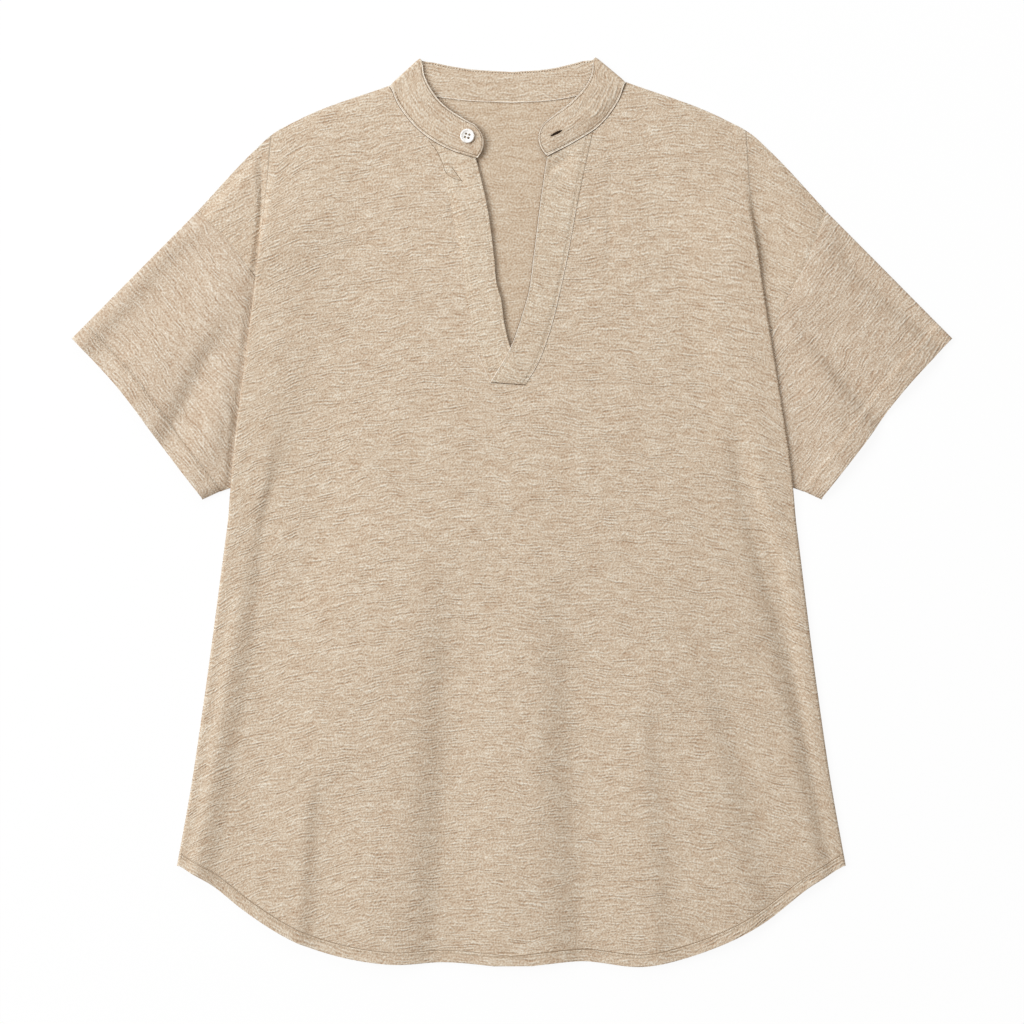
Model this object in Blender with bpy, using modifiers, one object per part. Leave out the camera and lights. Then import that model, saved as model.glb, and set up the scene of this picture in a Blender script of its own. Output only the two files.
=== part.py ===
"""V-neck top with a band collar, laid flat with its front up.

Lengths are in millimetres until a mesh is made. The origin lies on the surface that the top rests
on, under the middle of its outline: +Y runs to the collar, +X to the wearer's left, +Z up.
Every piece is cloth of one or two plies: a mesh of quads through the middle of its wall, from
sections worked out below, thickened by Solidify.
"""
import math
from collections import namedtuple

import bmesh
import bpy
import numpy as np

MM = 0.001

# Walls and the air between them
WALL = 1.0           # one ply of jersey
TURNED_WALL = 1.6    # turned hem or cuff, band and plackets
GAP = 0.3            # at seams and between layers

# Heights of the middle of a wall
ON_FLOOR = WALL / 2
TURN_CLEARANCE = 0.15     # above the surface, for cloth that turns under
ON_BACK = 2.1                            # front and upper sleeves, at rest on the layer below
ON_FRONT = ON_BACK + (WALL + TURNED_WALL) / 2 + GAP      # a placket on the front
ON_PLACKET = ON_FRONT + TURNED_WALL + GAP                # the band's ends on the plackets

# Depth of the turned edges
HEM_DEPTH = 10
CUFF_DEPTH = 16

# Swell of the cloth between its troughs
FRONT_SWELL = 2.9
FRONT_SWELL_FROM_Y, FRONT_SWELL_FULL_Y = 60, -150
SLEEVE_SWELL = 2.4
SLEEVE_SWELL_RUN = 22    # outwards from the torso's folded edge

FOLD_SETTLES = 42        # inwards from the torso's folded edge, where the front lies low again
BED_LAP = 2              # of the front past the run of its fold, where it still lies on it
HIDDEN_LAP = 1           # of the front past its lower turn, where the armhole seam is hidden
SEAM_STEP = (0.4, -GAP)  # of a sleeve's end outwards and down from the armhole seam
NECK_STEP = 0.4          # of the back's neck edge below the band
SLEEVE_CLEARANCE = 0.05  # under a sleeve's lower layer

# Slit in the front, under the plackets
SLIT_HALF_WIDTH = 14
SLIT_BOTTOM = 118
SLIT_CORNER = 3          # the slit's edges stop short of its bottom by this
PLACKET_LAP = 8          # of the front under each placket's outer edge
BAND_LAP = 4             # of the front and the plackets under the band
BAND_INWARDS = (-0.62, 0.78)    # from the neck seam to the band's top edge, at its front
CROSSING_TOP, CROSSING_RUN = 172, 32    # where the upper placket climbs on to the lower

CLOTH_COLOUR = (0.61, 0.50, 0.38)
INSIDE_COLOUR = (0.62, 0.50, 0.36)
TRIM_COLOUR = (0.64, 0.53, 0.40)
BUTTON_COLOUR = (0.86, 0.85, 0.82)

BUTTON_HOLE_RADIUS, BUTTON_HOLE_REACH = 0.75, 1.25
BUTTON_PROFILE = [    # radius and height, from the middle of its face round to its underside
    (0, 1.5), (3.4, 1.5), (4.0, 1.9), (4.6, 2.3), (5.2, 2.2), (5.75, 1.6), (5.6, 0.9),
    (4.6, 0.2), (3.6, 0), (0, 0),
]
BUTTON_STEPS, HOLE_SIDES = 28, 10
CUTTER_DEPTH = 8
BUTTON_X, BUTTON_Y = -35.5, 300.5
BUTTONHOLE_LENGTH, BUTTONHOLE_WIDTH = 9, 0.9
BUTTONHOLE_X, BUTTONHOLE_Y, BUTTONHOLE_TILT = 36, 303.5, 26

# Rows of the front, by their height at the torso's side
ROW_Y = [301, 282, 262, 243, 224, 205, 187, 164, 138, 113, 84, 55, 26, 12, -8,
         -32, -60, -90, -120, -150, -180, -210, -238, -260, -273, -283]
PLACKET_TOP_ROW, SLIT_BOTTOM_ROW = 2, 9
UNDERARM_ROW = 12
COLUMNS = np.array([0, 8, 16, 24, 32, 40, 48, 56, 64, 72, 79, 85, 90, 95, 100]) / 100

# Outlines of each side, as (x, y) with x outwards from the middle
Side = namedtuple("Side", """sign outline_top folded_edge side_edge armhole_front armhole_back hem
    neck_seam band_top neck_seam_back band_top_back placket_outer placket_inner""")
SLEEVE_TOP = [(251, 241), (352, 139)]
CUFF = [(352, 139), (314, 98), (278, 50), (246, 9)]
UNDERARM = [(201, 26), (226, 18), (246, 9)]
ARMHOLE_BACK = [(251, 241), (226, 150), (208, 80), (201, 26)]
SHOULDER_TO_CUFF = [(168, 315), (193, 301), (205, 290), (251, 241)]

RIGHT = Side(
    sign=-1,
    outline_top=[(98, 341), *SHOULDER_TO_CUFF],
    folded_edge=[(193, 301), (197, 255), (204, 196), (212, 131), (222, 52), (227, -6)],
    side_edge=[(227, -6), (246, -148), (257, -222), (268, -283)],
    armhole_front=[(251, 241), (228, 219), (205, 188)],
    armhole_back=ARMHOLE_BACK,
    hem=[(0, -364), (50, -360), (100, -361), (170, -345), (216, -318), (242, -298),
         (268, -283)],
    neck_seam=[(98, 341), (91, 327), (73, 305), (53, 292), (28, 283)],
    band_top=[(74, 363), (69, 345), (57, 327), (39, 314), (30, 309)],
    neck_seam_back=[(98, 341), (62, 333), (39, 330), (0, 328)],
    band_top_back=[(74, 363), (60, 359), (39, 355), (0, 352)],
    placket_outer=[(61, 299), (50, 251), (40, 203), (34, 162), (17, 106)],
    placket_inner=[(30, 287), (20, 247), (15, 208), (8, 167), (1, 131), (-9, 107)],
)
LEFT = Side(
    sign=1,
    outline_top=[(91, 344), *SHOULDER_TO_CUFF],
    folded_edge=[(187, 304), (191, 250), (199, 190), (215, 88), (223, 34), (227, -6)],
    side_edge=[(227, -6), (245, -148), (256, -222), (267, -283)],
    armhole_front=[(251, 241), (236, 203), (218, 168), (207, 143)],
    armhole_back=ARMHOLE_BACK,
    hem=[(0, -364), (55, -359), (105, -363), (165, -347), (205, -326), (240, -299),
         (267, -283)],
    neck_seam=[(91, 344), (86, 332), (70, 310), (49, 296), (28, 285)],
    band_top=[(67, 364), (62, 345), (46, 326), (34, 317), (27, 311)],
    neck_seam_back=[(91, 344), (55, 334), (33, 330), (0, 328)],
    band_top_back=[(67, 364), (50, 359), (33, 355), (0, 352)],
    placket_outer=[(65, 306), (57, 270), (39, 178), (31, 146), (20, 117), (11, 102)],
    placket_inner=[(29, 290), (25, 264), (14, 187), (4, 146), (-17, 104)],
)

# The folded edge of the torso by height: the cloth turns down through an angle, runs on and turns
# back by the same angle. Near the shoulder it only steps down, and from the armhole it overlaps.
# A turn is the length of cloth in it.
Edge = namedtuple("Edge", "y angle turn run")
EDGES = [
    Edge(301, 4, 7.5, 0.8), Edge(282, 16, 7.5, 0.8), Edge(262, 44, 5.0, 0.8),
    Edge(243, 78, 4.0, 0.8), Edge(224, 114, 3.4, 1.2), Edge(205, 150, 3.14, 2.2),
    Edge(187, 180, 3.14, 4.0), Edge(138, 180, 3.14, 8.5), Edge(84, 180, 3.14, 15),
    Edge(26, 180, 3.14, 22),
]
Wrap = namedtuple("Wrap", "y run height radius")
WRAPS = [  # below the underarm the front wraps on to the floor, to the side seam
    Wrap(26, 22, 4.1, 1.0), Wrap(12, 17.5, 4.1, 1.0), Wrap(-8, 10, ON_FLOOR, 2.1),
    Wrap(-32, 7, ON_FLOOR, 2.0), Wrap(-60, 5, ON_FLOOR, 1.9), Wrap(-90, 3, ON_FLOOR, 1.8),
    Wrap(-260, 2, ON_FLOOR, 1.6), Wrap(-283, 1.5, TURNED_WALL / 2, 1.4),
]

# Troughs: from (x0, y0) to (x1, y1), bowed sideways at the middle, deepest at their far end
Trough = namedtuple("Trough", "x0 y0 x1 y1 bow depth half_width")
FRONT_TROUGHS = [
    Trough(-180, 150, -243, -290, 10, 2.9, 13),
    Trough(-148, -110, -173, -350, 1, 2.2, 11),
    Trough(-54, 0, -76, -366, 3, 2.9, 14),
    Trough(24, -20, 39, -366, 6, 2.6, 14),
    Trough(103, -60, 137, -350, 0, 1.4, 14),
    Trough(160, -100, 214, -305, -3, 2.2, 12),
    Trough(176, 160, 252, -262, -15, 2.9, 13),
]
SLEEVE_TROUGHS = [
    Trough(-226, 172, -284, 54, 0, 2.4, 14),
    Trough(-214, 254, -338, 124, 0, 1.4, 11),
    Trough(216, 172, 296, 58, 0, 2.4, 14),
    Trough(208, 262, 334, 134, 0, 1.4, 11),
]
TROUGH_FADE = 0.4    # of its length, over which a trough deepens


# --- curves ---------------------------------------------------------------------------------

def through(points, per_span=24):
    """A dense polyline on the smooth curve through the points."""
    p = np.array(points, float)
    if len(p) == 2:
        return p[0] + (p[1] - p[0]) * np.linspace(0, 1, per_span)[:, None]
    at = np.concatenate([[0], np.cumsum(np.linalg.norm(np.diff(p, axis=0), axis=1))])
    slope = np.gradient(p, at, axis=0)
    line = [p[:1]]
    for k in range(len(p) - 1):
        span = at[k + 1] - at[k]
        t = np.linspace(0, 1, per_span + 1)[1:, None]
        line.append((2 * t**3 - 3 * t**2 + 1) * p[k] + (t**3 - 2 * t**2 + t) * span * slope[k]
                    + (3 * t**2 - 2 * t**3) * p[k + 1] + (t**3 - t**2) * span * slope[k + 1])
    return np.concatenate(line)


def lengths(line):
    return np.concatenate([[0], np.cumsum(np.linalg.norm(np.diff(line, axis=0), axis=1))])


def at_length(line, where):
    """Points of a polyline at the given lengths along it."""
    along = lengths(line)
    return np.stack([np.interp(where, along, c) for c in line.T], -1)


def at_share(line, share):
    return at_length(line, np.asarray(share) * lengths(line)[-1])


def at_height(line, ys):
    """Points of a falling line at the given heights."""
    return np.stack([np.interp(-np.asarray(ys), -line[:, 1], line[:, 0]), ys], -1)


def ease(t):
    t = np.clip(t, 0, 1)
    return t * t * (3 - 2 * t)


def table(rows, column, ys):
    """A column of a table of rows by falling y, read at each of ys."""
    return np.interp(-np.asarray(ys), [-r.y for r in rows], [getattr(r, column) for r in rows])


# --- heights --------------------------------------------------------------------------------

def troughs(rows, x, y):
    """The depth of the deepest trough at each place."""
    deepest = np.zeros(np.broadcast(x, y).shape)
    for r in rows:
        run = np.array([r.x1 - r.x0, r.y1 - r.y0], float)
        reach = np.hypot(*run)
        along = ((x - r.x0) * run[0] + (y - r.y0) * run[1]) / reach**2
        aside = ((x - r.x0) * run[1] - (y - r.y0) * run[0]) / reach
        bow = -math.copysign(r.bow, r.bow * run[1]) * 4 * along * (1 - along)
        depth = r.depth * ease(along / TROUGH_FADE)
        deepest = np.maximum(deepest, depth * np.exp(-((aside - bow) / r.half_width) ** 2))
    return deepest


def front_height(x, y):
    """The middle of the front's wall, away from its folded edges."""
    fall = (FRONT_SWELL_FROM_Y - y) / (FRONT_SWELL_FROM_Y - FRONT_SWELL_FULL_Y)
    swell = FRONT_SWELL * ease(fall)
    return ON_BACK + np.maximum(swell - troughs(FRONT_TROUGHS, x, y), 0)


def sleeve_height(side, x, y):
    """The middle of the upper sleeve's wall, and of the front outside its folded edge."""
    edge = at_height(folded_line(side), np.clip(y, -283, 301).ravel())[:, 0].reshape(y.shape)
    swell = SLEEVE_SWELL * ease((np.abs(x) - edge - 3) / SLEEVE_SWELL_RUN)
    return ON_BACK + np.maximum(swell - troughs(SLEEVE_TROUGHS, x, y), 0)


# --- cloth ----------------------------------------------------------------------------------

class Cloth:
    """Quads through the middle of one piece's wall, with the wall's thickness at each point."""

    def __init__(self, name, colour, roughness=0.9):
        self.name = name
        self.colour = colour
        self.roughness = roughness
        self.points = []
        self.walls = []
        self.faces = []
        self.index = {}

    def corner(self, point, wall):
        key = tuple(round(float(c), 4) for c in point)
        if key not in self.index:
            self.index[key] = len(self.points)
            self.points.append(key)
            self.walls.append(float(wall))
        return self.index[key]

    def add(self, grid, wall):
        """Adds rows of points as quads, welded to what is there already."""
        walls = np.broadcast_to(wall, grid.shape[:2])
        ids = [[self.corner(p, w) for p, w in zip(*row)] for row in zip(grid, walls)]
        for upper, lower in zip(ids, ids[1:]):
            for k in range(len(upper) - 1):
                face = dict.fromkeys([upper[k], lower[k], lower[k + 1], upper[k + 1]])
                if len(face) > 2:
                    self.faces.append(list(face))

    def add_face(self, ring, wall):
        """Adds one flat face with many corners."""
        corners = dict.fromkeys(self.corner(p, wall) for p in ring)
        self.faces.append(list(corners))

    def build(self):
        mesh = bpy.data.meshes.new(self.name)
        mesh.from_pydata([tuple(c * MM for c in p) for p in self.points], [], self.faces)
        bm = bmesh.new()
        bm.from_mesh(mesh)
        bmesh.ops.recalc_face_normals(bm, faces=bm.faces)
        bm.to_mesh(mesh)
        bm.free()
        piece = place(self.name, mesh, self.colour, self.roughness)
        group = piece.vertex_groups.new(name="wall")
        for k, wall in enumerate(self.walls):
            group.add([k], wall / TURNED_WALL, "REPLACE")
        shell = piece.modifiers.new("wall", "SOLIDIFY")
        shell.thickness = TURNED_WALL * MM
        shell.offset = 0
        shell.use_even_offset = True
        shell.vertex_group = group.name
        return piece


def material(name, colour, roughness):
    made = bpy.data.materials.new(name)
    made.use_nodes = True
    shader = made.node_tree.nodes["Principled BSDF"]
    shader.inputs["Base Color"].default_value = (*colour, 1)
    shader.inputs["Roughness"].default_value = roughness
    shader.inputs["Metallic"].default_value = 0
    return made


def place(name, mesh, colour, roughness):
    mesh.materials.append(material(name, colour, roughness))
    piece = bpy.data.objects.new(name, mesh)
    bpy.data.collections["v_neck_top"].objects.link(piece)
    return piece


def lifted(flat, height):
    """Points with a height added to each."""
    return np.concatenate([flat, np.broadcast_to(height, flat.shape[:-1])[..., None]], -1)


def mirrored(side, points):
    """Outward x as world x."""
    return points * np.array([side.sign, 1, 1][:points.shape[-1]])


# --- the torso's folded edge ------------------------------------------------------------------

def folded_line(side):
    """The whole of the torso's visible side, from the shoulder to the hem."""
    return np.concatenate([through(side.folded_edge), through(side.side_edge)[1:]])


def armhole_back(side):
    """The back's seam with the lower sleeve, a point for each row down to the underarm."""
    return at_share(through(side.armhole_back), np.linspace(0, 1, UNDERARM_ROW + 1))


def turn_profile(angle, turn, run):
    """Outward steps and falls through a turn down, a run, and a turn back."""
    angle = math.radians(angle)
    radius = turn / angle
    steps = np.linspace(0, angle, 5)
    down = np.stack([radius * np.sin(steps), -radius * (1 - np.cos(steps))], -1)
    along = down[-1] + np.outer([0.5, 1], [run * math.cos(angle), -run * math.sin(angle)])
    back = along[-1] + np.stack([radius * (math.sin(angle) - np.sin(steps[::-1])),
                                 -radius * (np.cos(steps[::-1]) - math.cos(angle))], -1)
    return np.concatenate([down, along]), back[1:]


class FoldedEdge:
    """One side's folded edge and armhole seam, a section for each of ROW_Y, in outward x."""

    def __init__(self, side):
        line = folded_line(side)
        self.side = side
        self.edge = at_height(line, np.clip(ROW_Y, line[-1, 1], line[0, 1]))
        self.edge[:, 1] = np.where(np.arange(len(ROW_Y)) == 0, line[0, 1], self.edge[:, 1])
        self.turns, self.laps = [], []
        for row in range(len(ROW_Y)):
            section = self.step_section(row) if row <= UNDERARM_ROW else self.wrap_section(row)
            self.turns.append(section[:7])
            self.laps.append(section[6:])
        self.starts = np.array([turn[0] for turn in self.turns])
        self.seam = self.armhole_seam()

    def step_section(self, row):
        """Where the sleeve lies beside the torso: down, back under, and out again."""
        x, y = self.edge[row]
        above, below = turn_profile(*(table(EDGES, c, y) for c in ("angle", "turn", "run")))
        foot = sleeve_height(self.side, np.array([self.side.sign * x]), np.array([y]))[0]
        across = x - above[:, 0].max() - WALL / 2 + np.concatenate([above, below])[:, 0]
        height = foot - below[-1, 1] + np.concatenate([above, below])[:, 1]
        down = np.full(len(across), y)
        if row == 0:
            outline = through(self.side.outline_top)
            down = np.interp(across, outline[:, 0], outline[:, 1])
        return np.stack([across, down, height], -1)

    def wrap_section(self, row):
        """Below the sleeve: down on to the surface, and back under to the side seam."""
        x, y = self.edge[row]
        radius, run = table(WRAPS, "radius", y), table(WRAPS, "run", y)
        above, _ = turn_profile(180, math.pi * radius, run)
        across = x - radius - self.wall(row) / 2 + above[:, 0]
        height = table(WRAPS, "height", y) + TURN_CLEARANCE + 2 * radius + above[:, 1]
        return np.stack([across, np.full(len(across), y), height], -1)

    def armhole_seam(self):
        """The front's seam with the upper sleeve, down to the underarm: seen above, then hidden."""
        seam = through(self.side.armhole_front)
        rows = np.array(ROW_Y[:UNDERARM_ROW + 1], float)
        share = np.clip((rows[0] - rows) / (rows[0] - seam[-1, 1]), 0, 1)
        points = at_height(seam, seam[0, 1] + share * (seam[-1, 1] - seam[0, 1]))
        for row, lap in enumerate(self.laps[:UNDERARM_ROW + 1]):
            hidden = lap[-1, 0] + HIDDEN_LAP
            if rows[row] < seam[-1, 1] or points[row, 0] < hidden:
                points[row] = hidden, rows[row]
        return points

    @staticmethod
    def wall(row):
        return TURNED_WALL if row >= len(ROW_Y) - 2 else WALL

    def seam_on_floor(self):
        """Where the front ends below the underarm, and the back begins."""
        return np.array([turn[-1] for turn in self.turns[UNDERARM_ROW:]])


# --- the front --------------------------------------------------------------------------------

def front_inner_line(side):
    """Neck seam, slit and middle line of one half of the front, with the lengths of its corners."""
    seam = through(side.neck_seam)
    outer = through(side.placket_outer)
    inwards = np.array(BAND_INWARDS) * BAND_LAP
    neck = seam + inwards * ease(np.linspace(0, 4, len(seam)))[:, None]
    slit = outer - np.array([PLACKET_LAP, 0])
    slit = slit[slit[:, 1] < slit[0, 1] - BAND_LAP]
    neck = neck[neck[:, 0] > slit[0, 0] + 1]
    slit = slit[(slit[:, 0] > SLIT_HALF_WIDTH) & (slit[:, 1] > SLIT_BOTTOM + SLIT_CORNER)]
    hem_y = np.interp(SLIT_HALF_WIDTH, *through(side.hem).T)
    foot = np.linspace([SLIT_HALF_WIDTH, SLIT_BOTTOM], [SLIT_HALF_WIDTH, hem_y], 60)
    line = np.concatenate([neck, slit, foot])
    along = lengths(line)
    return line, [0, along[len(neck)], along[len(neck) + len(slit)], along[-1]]


def front_half(side, folded):
    """The grid of one half of the front's top layer."""
    line, corners = front_inner_line(side)
    rows = np.array(ROW_Y, float)
    marks = [-rows[0], -rows[PLACKET_TOP_ROW], -rows[SLIT_BOTTOM_ROW], -rows[-1]]
    inner = at_length(line, np.interp(-rows, marks, corners))
    outer = folded.starts[:, :2]
    down = ((rows[0] - rows) / (rows[0] - rows[-1]))[:, None, None]
    outline = through(side.outline_top)
    shoulder = at_share(outline[outline[:, 0] < outer[0, 0]], COLUMNS)
    hem = through(side.hem)
    hem = at_share(hem[hem[:, 0] >= SLIT_HALF_WIDTH - 0.01], COLUMNS)
    hem += (inner[-1] - hem[0]) * (1 - COLUMNS[:, None]) + (outer[-1] - hem[-1]) * COLUMNS[:, None]
    shoulder += (inner[0] - shoulder[0]) * (1 - ease(COLUMNS[:, None] / 0.2))
    shoulder += (outer[0] - shoulder[-1]) * COLUMNS[:, None]
    across = COLUMNS[None, :, None]
    flat = ((1 - across) * inner[:, None] + across * outer[:, None]
            + (1 - down) * shoulder + down * hem
            - (1 - down) * ((1 - across) * inner[0] + across * outer[0])
            - down * ((1 - across) * inner[-1] + across * outer[-1]))
    flat = mirrored(side, flat)
    height = front_height(flat[..., 0], flat[..., 1])
    from_edge = np.linalg.norm(flat - flat[:, -1:], axis=2)
    bed = np.array([table(EDGES, "run", y) for y in ROW_Y])[:, None] + BED_LAP
    lift = 1 - ease((from_edge - bed) / (FOLD_SETTLES - bed))
    height = height + lift * (folded.starts[:, 2:] - height)
    height[0] = np.minimum(height[0], ON_BACK - GAP)
    height[0, -1] = folded.starts[0, 2]
    height[-2:] += (TURNED_WALL - WALL) / 2 * (1 - lift[-2:])
    return lifted(flat, height)


def front_strip(folded):
    """The front outside its folded edge, down to the armhole seam."""
    side = folded.side
    outline = through(side.outline_top)
    strip = []
    for row, (lap, seam) in enumerate(zip(folded.laps, folded.seam)):
        steps = lap[-1, :2] + np.outer([1 / 3, 2 / 3, 1], seam - lap[-1, :2])
        if row == 0:
            steps[:, 1] = np.interp(steps[:, 0], outline[:, 0], outline[:, 1])
        height = sleeve_height(side, side.sign * steps[:, 0], steps[:, 1])
        strip.append(np.concatenate([lap, lifted(steps, height)]))
    return np.array(strip)


def front_panel(folds):
    cloth = Cloth("front_panel", CLOTH_COLOUR)
    walls = np.array([FoldedEdge.wall(row) for row in range(len(ROW_Y))])[:, None]
    inner_edges = []
    for folded in folds:
        side = folded.side
        half = front_half(side, folded)
        cloth.add(half, walls)
        cloth.add(mirrored(side, np.array(folded.turns)), walls)
        cloth.add(mirrored(side, front_strip(folded)), WALL)
        inner_edges.append(half[SLIT_BOTTOM_ROW:, 0])
    right, left = inner_edges
    middle = np.stack([right + (left - right) * share for share in (0, 0.5, 1)], 1)
    cloth.add(middle, walls[SLIT_BOTTOM_ROW:])
    return cloth.build()


# --- the back ---------------------------------------------------------------------------------

def back_outline(side, seam_on_floor):
    """Half of the back's outline above its hem line, from the neck's middle round to the side."""
    neck = np.array([line[0] for line in band_back(side)])[::-1, :2] - [0, NECK_STEP]
    shoulder = at_share(through(side.outline_top), np.linspace(0.006, 1, 12))[:-1]
    return np.concatenate([neck, shoulder, armhole_back(side), seam_on_floor])


def back_panel(folds):
    """A flat outline whose lower edge is turned up into the hem."""
    cloth = Cloth("back_panel", INSIDE_COLOUR)
    outline, hem_rows = [], []
    for folded in folds:
        side = folded.side
        seam = folded.seam_on_floor()[1:, :2] - [GAP, 0]
        half = back_outline(side, seam[:-1])
        hem = at_share(through(side.hem), np.linspace(0, 1, 15)) + [0, 1]
        hem += np.outer(np.linspace(0, 1, 15), seam[-1] - hem[-1])
        line = hem + [0, HEM_DEPTH]
        line[-1] = seam[-2]
        rows = np.array([lifted(line, WALL / 2), lifted(line + (hem - line) * 0.1,
                         TURNED_WALL / 2), lifted(hem, TURNED_WALL / 2)])
        hem_rows.append(mirrored(side, rows))
        outline.append(mirrored(side, np.concatenate([half[:-1], line[::-1]])))
    right, left = outline
    ring = np.concatenate([right, left[::-1][1:-1]])
    cloth.add_face(lifted(ring, WALL / 2), WALL)
    for rows in hem_rows:
        cloth.add(rows, np.array([WALL, TURNED_WALL, TURNED_WALL])[:, None])
    return cloth.build()


# --- sleeves ----------------------------------------------------------------------------------

Ring = namedtuple("Ring", "share radius wall")
RINGS = [    # from the armhole to the cuff's hem line, and the cuff itself
    Ring(0, 0.8, WALL), Ring(0.15, 1.0, WALL), Ring(0.3, 1.2, WALL), Ring(0.45, 1.3, WALL),
    Ring(0.6, 1.3, WALL), Ring(0.8, 1.3, WALL), Ring(1, 1.6, TURNED_WALL),
    Ring(2, 1.6, TURNED_WALL),
]
UNDERARM_RADIUS = 0.8
EDGE_RUN, UNDERARM_RUN = 16, 8    # inwards from a sleeve's two folded edges, where they settle
OUT_OF_TOP, OUT_OF_UNDERARM = np.array([0.71, 0.70]), np.array([0.35, -0.94])
SLEEVE_TURN = np.radians([54, 0, -54])
UNDERARM_FADE = 0.1      # share of a sleeve over which its layers' ends meet at the cuff


def unit(vector):
    return np.array(vector, float) / np.hypot(*vector)


def cuff_lines(count):
    """The cuff's edge and the hem line above it, from the sleeve's top edge to the underarm."""
    share = np.linspace(0, 1, count)
    cuff = at_share(through(CUFF), share)
    run = cuff[-1] - cuff[0]
    hem = cuff + unit([run[1], -run[0]]) * CUFF_DEPTH
    top = cuff[0] + unit(np.subtract(*SLEEVE_TOP)) * CUFF_DEPTH
    under = at_length(through(UNDERARM[::-1]), [CUFF_DEPTH])[0]
    hem += np.outer(1 - share, top - hem[0]) + np.outer(share, under - hem[-1])
    return hem, cuff


def sleeve_layer(seam, ring, hem, cuff):
    """One layer of one ring, from the sleeve's top edge to the underarm."""
    if ring.share > 1:
        return cuff.copy()
    share = np.linspace(0, 1, len(seam))
    under = through([seam[-1]] + UNDERARM[1:])
    under = at_share(under[under[:, 0] <= hem[-1, 0] + 0.01], ring.share)
    line = seam + (hem - seam) * ring.share
    return line + np.outer(share, under - line[-1]) * ease((1 - ring.share) / UNDERARM_FADE)


def draw_in(line, end, inner, outwards, room):
    """Moves an end of a line along itself, to leave room for the turn outside it."""
    back = unit(line[inner] - line[end])
    line[end] += back * room / np.dot(back, -outwards)


def sleeve_turn(above, below, outwards, radius, floor):
    """Round a sleeve's folded edge, from its upper layer down to its lower one."""
    return [[*((above + below) / 2 + outwards * radius * math.cos(angle)),
             floor + radius * (1 + math.sin(angle))] for angle in SLEEVE_TURN]


def sleeve(folded, name):
    """One sleeve as a flattened tube: rings from the armhole to the cuff."""
    side = folded.side
    cloth = Cloth(name, CLOTH_COLOUR)
    upper_seam = folded.seam + SEAM_STEP
    lower_seam = armhole_back(side) + SEAM_STEP
    hem, cuff = cuff_lines(len(folded.seam))
    rings = []
    for ring in RINGS:
        floor = ring.wall / 2 + SLEEVE_CLEARANCE
        layers = []
        for seam in (upper_seam, lower_seam):
            line = sleeve_layer(seam, ring, hem, cuff)
            near_top = 1 - ease(np.linalg.norm(line - line[0], axis=1) / EDGE_RUN)
            near_under = 1 - ease(np.linalg.norm(line - line[-1], axis=1) / UNDERARM_RUN)
            draw_in(line, 0, 1, OUT_OF_TOP, ring.radius + ring.wall / 2)
            draw_in(line, -1, -2, OUT_OF_UNDERARM, UNDERARM_RADIUS + ring.wall / 2)
            layers.append((line, near_top, near_under))
        (upper, near_top, near_under), (lower, _, _) = layers
        height = sleeve_height(side, side.sign * upper[:, 0], upper[:, 1]) + floor - ON_FLOOR
        height += (floor + 2 * ring.radius - height) * near_top
        height += (floor + 2 * UNDERARM_RADIUS - height) * near_under
        top_turn = sleeve_turn(upper[0], lower[0], OUT_OF_TOP, ring.radius, floor)
        under_turn = sleeve_turn(upper[-1], lower[-1], OUT_OF_UNDERARM, UNDERARM_RADIUS, floor)
        loop = np.concatenate([lifted(upper, height)[::-1], top_turn, lifted(lower, floor),
                               under_turn[::-1]])
        rings.append(np.concatenate([loop, loop[:1]]))
    walls = np.array([ring.wall for ring in RINGS])[:, None]
    cloth.add(mirrored(side, np.array(rings)), walls)
    return cloth.build()


# --- collar and plackets ----------------------------------------------------------------------

ACROSS_BAND = np.linspace(0, 1, 5)
BAND_AT_FOLD = 4.4      # height of the band's front part at its fold over the back part
BAND_TURN = (BAND_AT_FOLD - TURNED_WALL / 2) / 2
BAND_TURN_ANGLES = np.radians([54, 18, -18, -54])
TIP_SETTLES = 0.2        # share of the front or back part over which the tip's room fades
BAND_CLIMBS = 0.42       # share of the front part over which it climbs on to the placket
ROUND_END, ROUND_END_FROM = 6, 0.82     # bulge of the band's rounded end, and where it starts


def band_outwards(side):
    """The direction out of the fold at one tip of the band."""
    fold = np.array(side.band_top[0]) - side.neck_seam[0]
    return np.array([fold[1], -fold[0]]) / np.hypot(*fold)


def band_line(side, seam, top, share):
    """A line across the band, drawn in from the tip's outline by the room that the turn takes."""
    low, high = at_share(seam, share), at_share(top, share)
    inset = band_outwards(side) * (BAND_TURN + TURNED_WALL / 2)
    return low + np.outer(ACROSS_BAND, high - low) - inset * (1 - ease(share / TIP_SETTLES))


def band_back(side):
    """Lines across the band's back part, from the tip to the middle of the neck."""
    seam, top = through(side.neck_seam_back), through(side.band_top_back)
    return [lifted(band_line(side, seam, top, s), TURNED_WALL / 2) for s in np.linspace(0, 1, 8)]


def band_front(side):
    """Lines across the band's front part, from its rounded end to the tip."""
    seam, top = through(side.neck_seam), through(side.band_top)
    lines = []
    for s in np.linspace(1, 0, 9):
        line = band_line(side, seam, top, s)
        bulge = ROUND_END * ease((s - ROUND_END_FROM) / (1 - ROUND_END_FROM))
        line[:, 0] -= bulge * 4 * ACROSS_BAND * (1 - ACROSS_BAND)
        climb = (ON_PLACKET - BAND_AT_FOLD) * ease(s / BAND_CLIMBS)
        lines.append(lifted(line, BAND_AT_FOLD + climb))
    return lines


def band_tip(side, foot):
    """Lines round the turn at the tip, from the front part down to the back part."""
    outwards = band_outwards(side)
    return [lifted(foot + outwards * BAND_TURN * math.cos(angle),
                   TURNED_WALL / 2 + BAND_TURN * (1 + math.sin(angle)))
            for angle in BAND_TURN_ANGLES]


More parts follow.
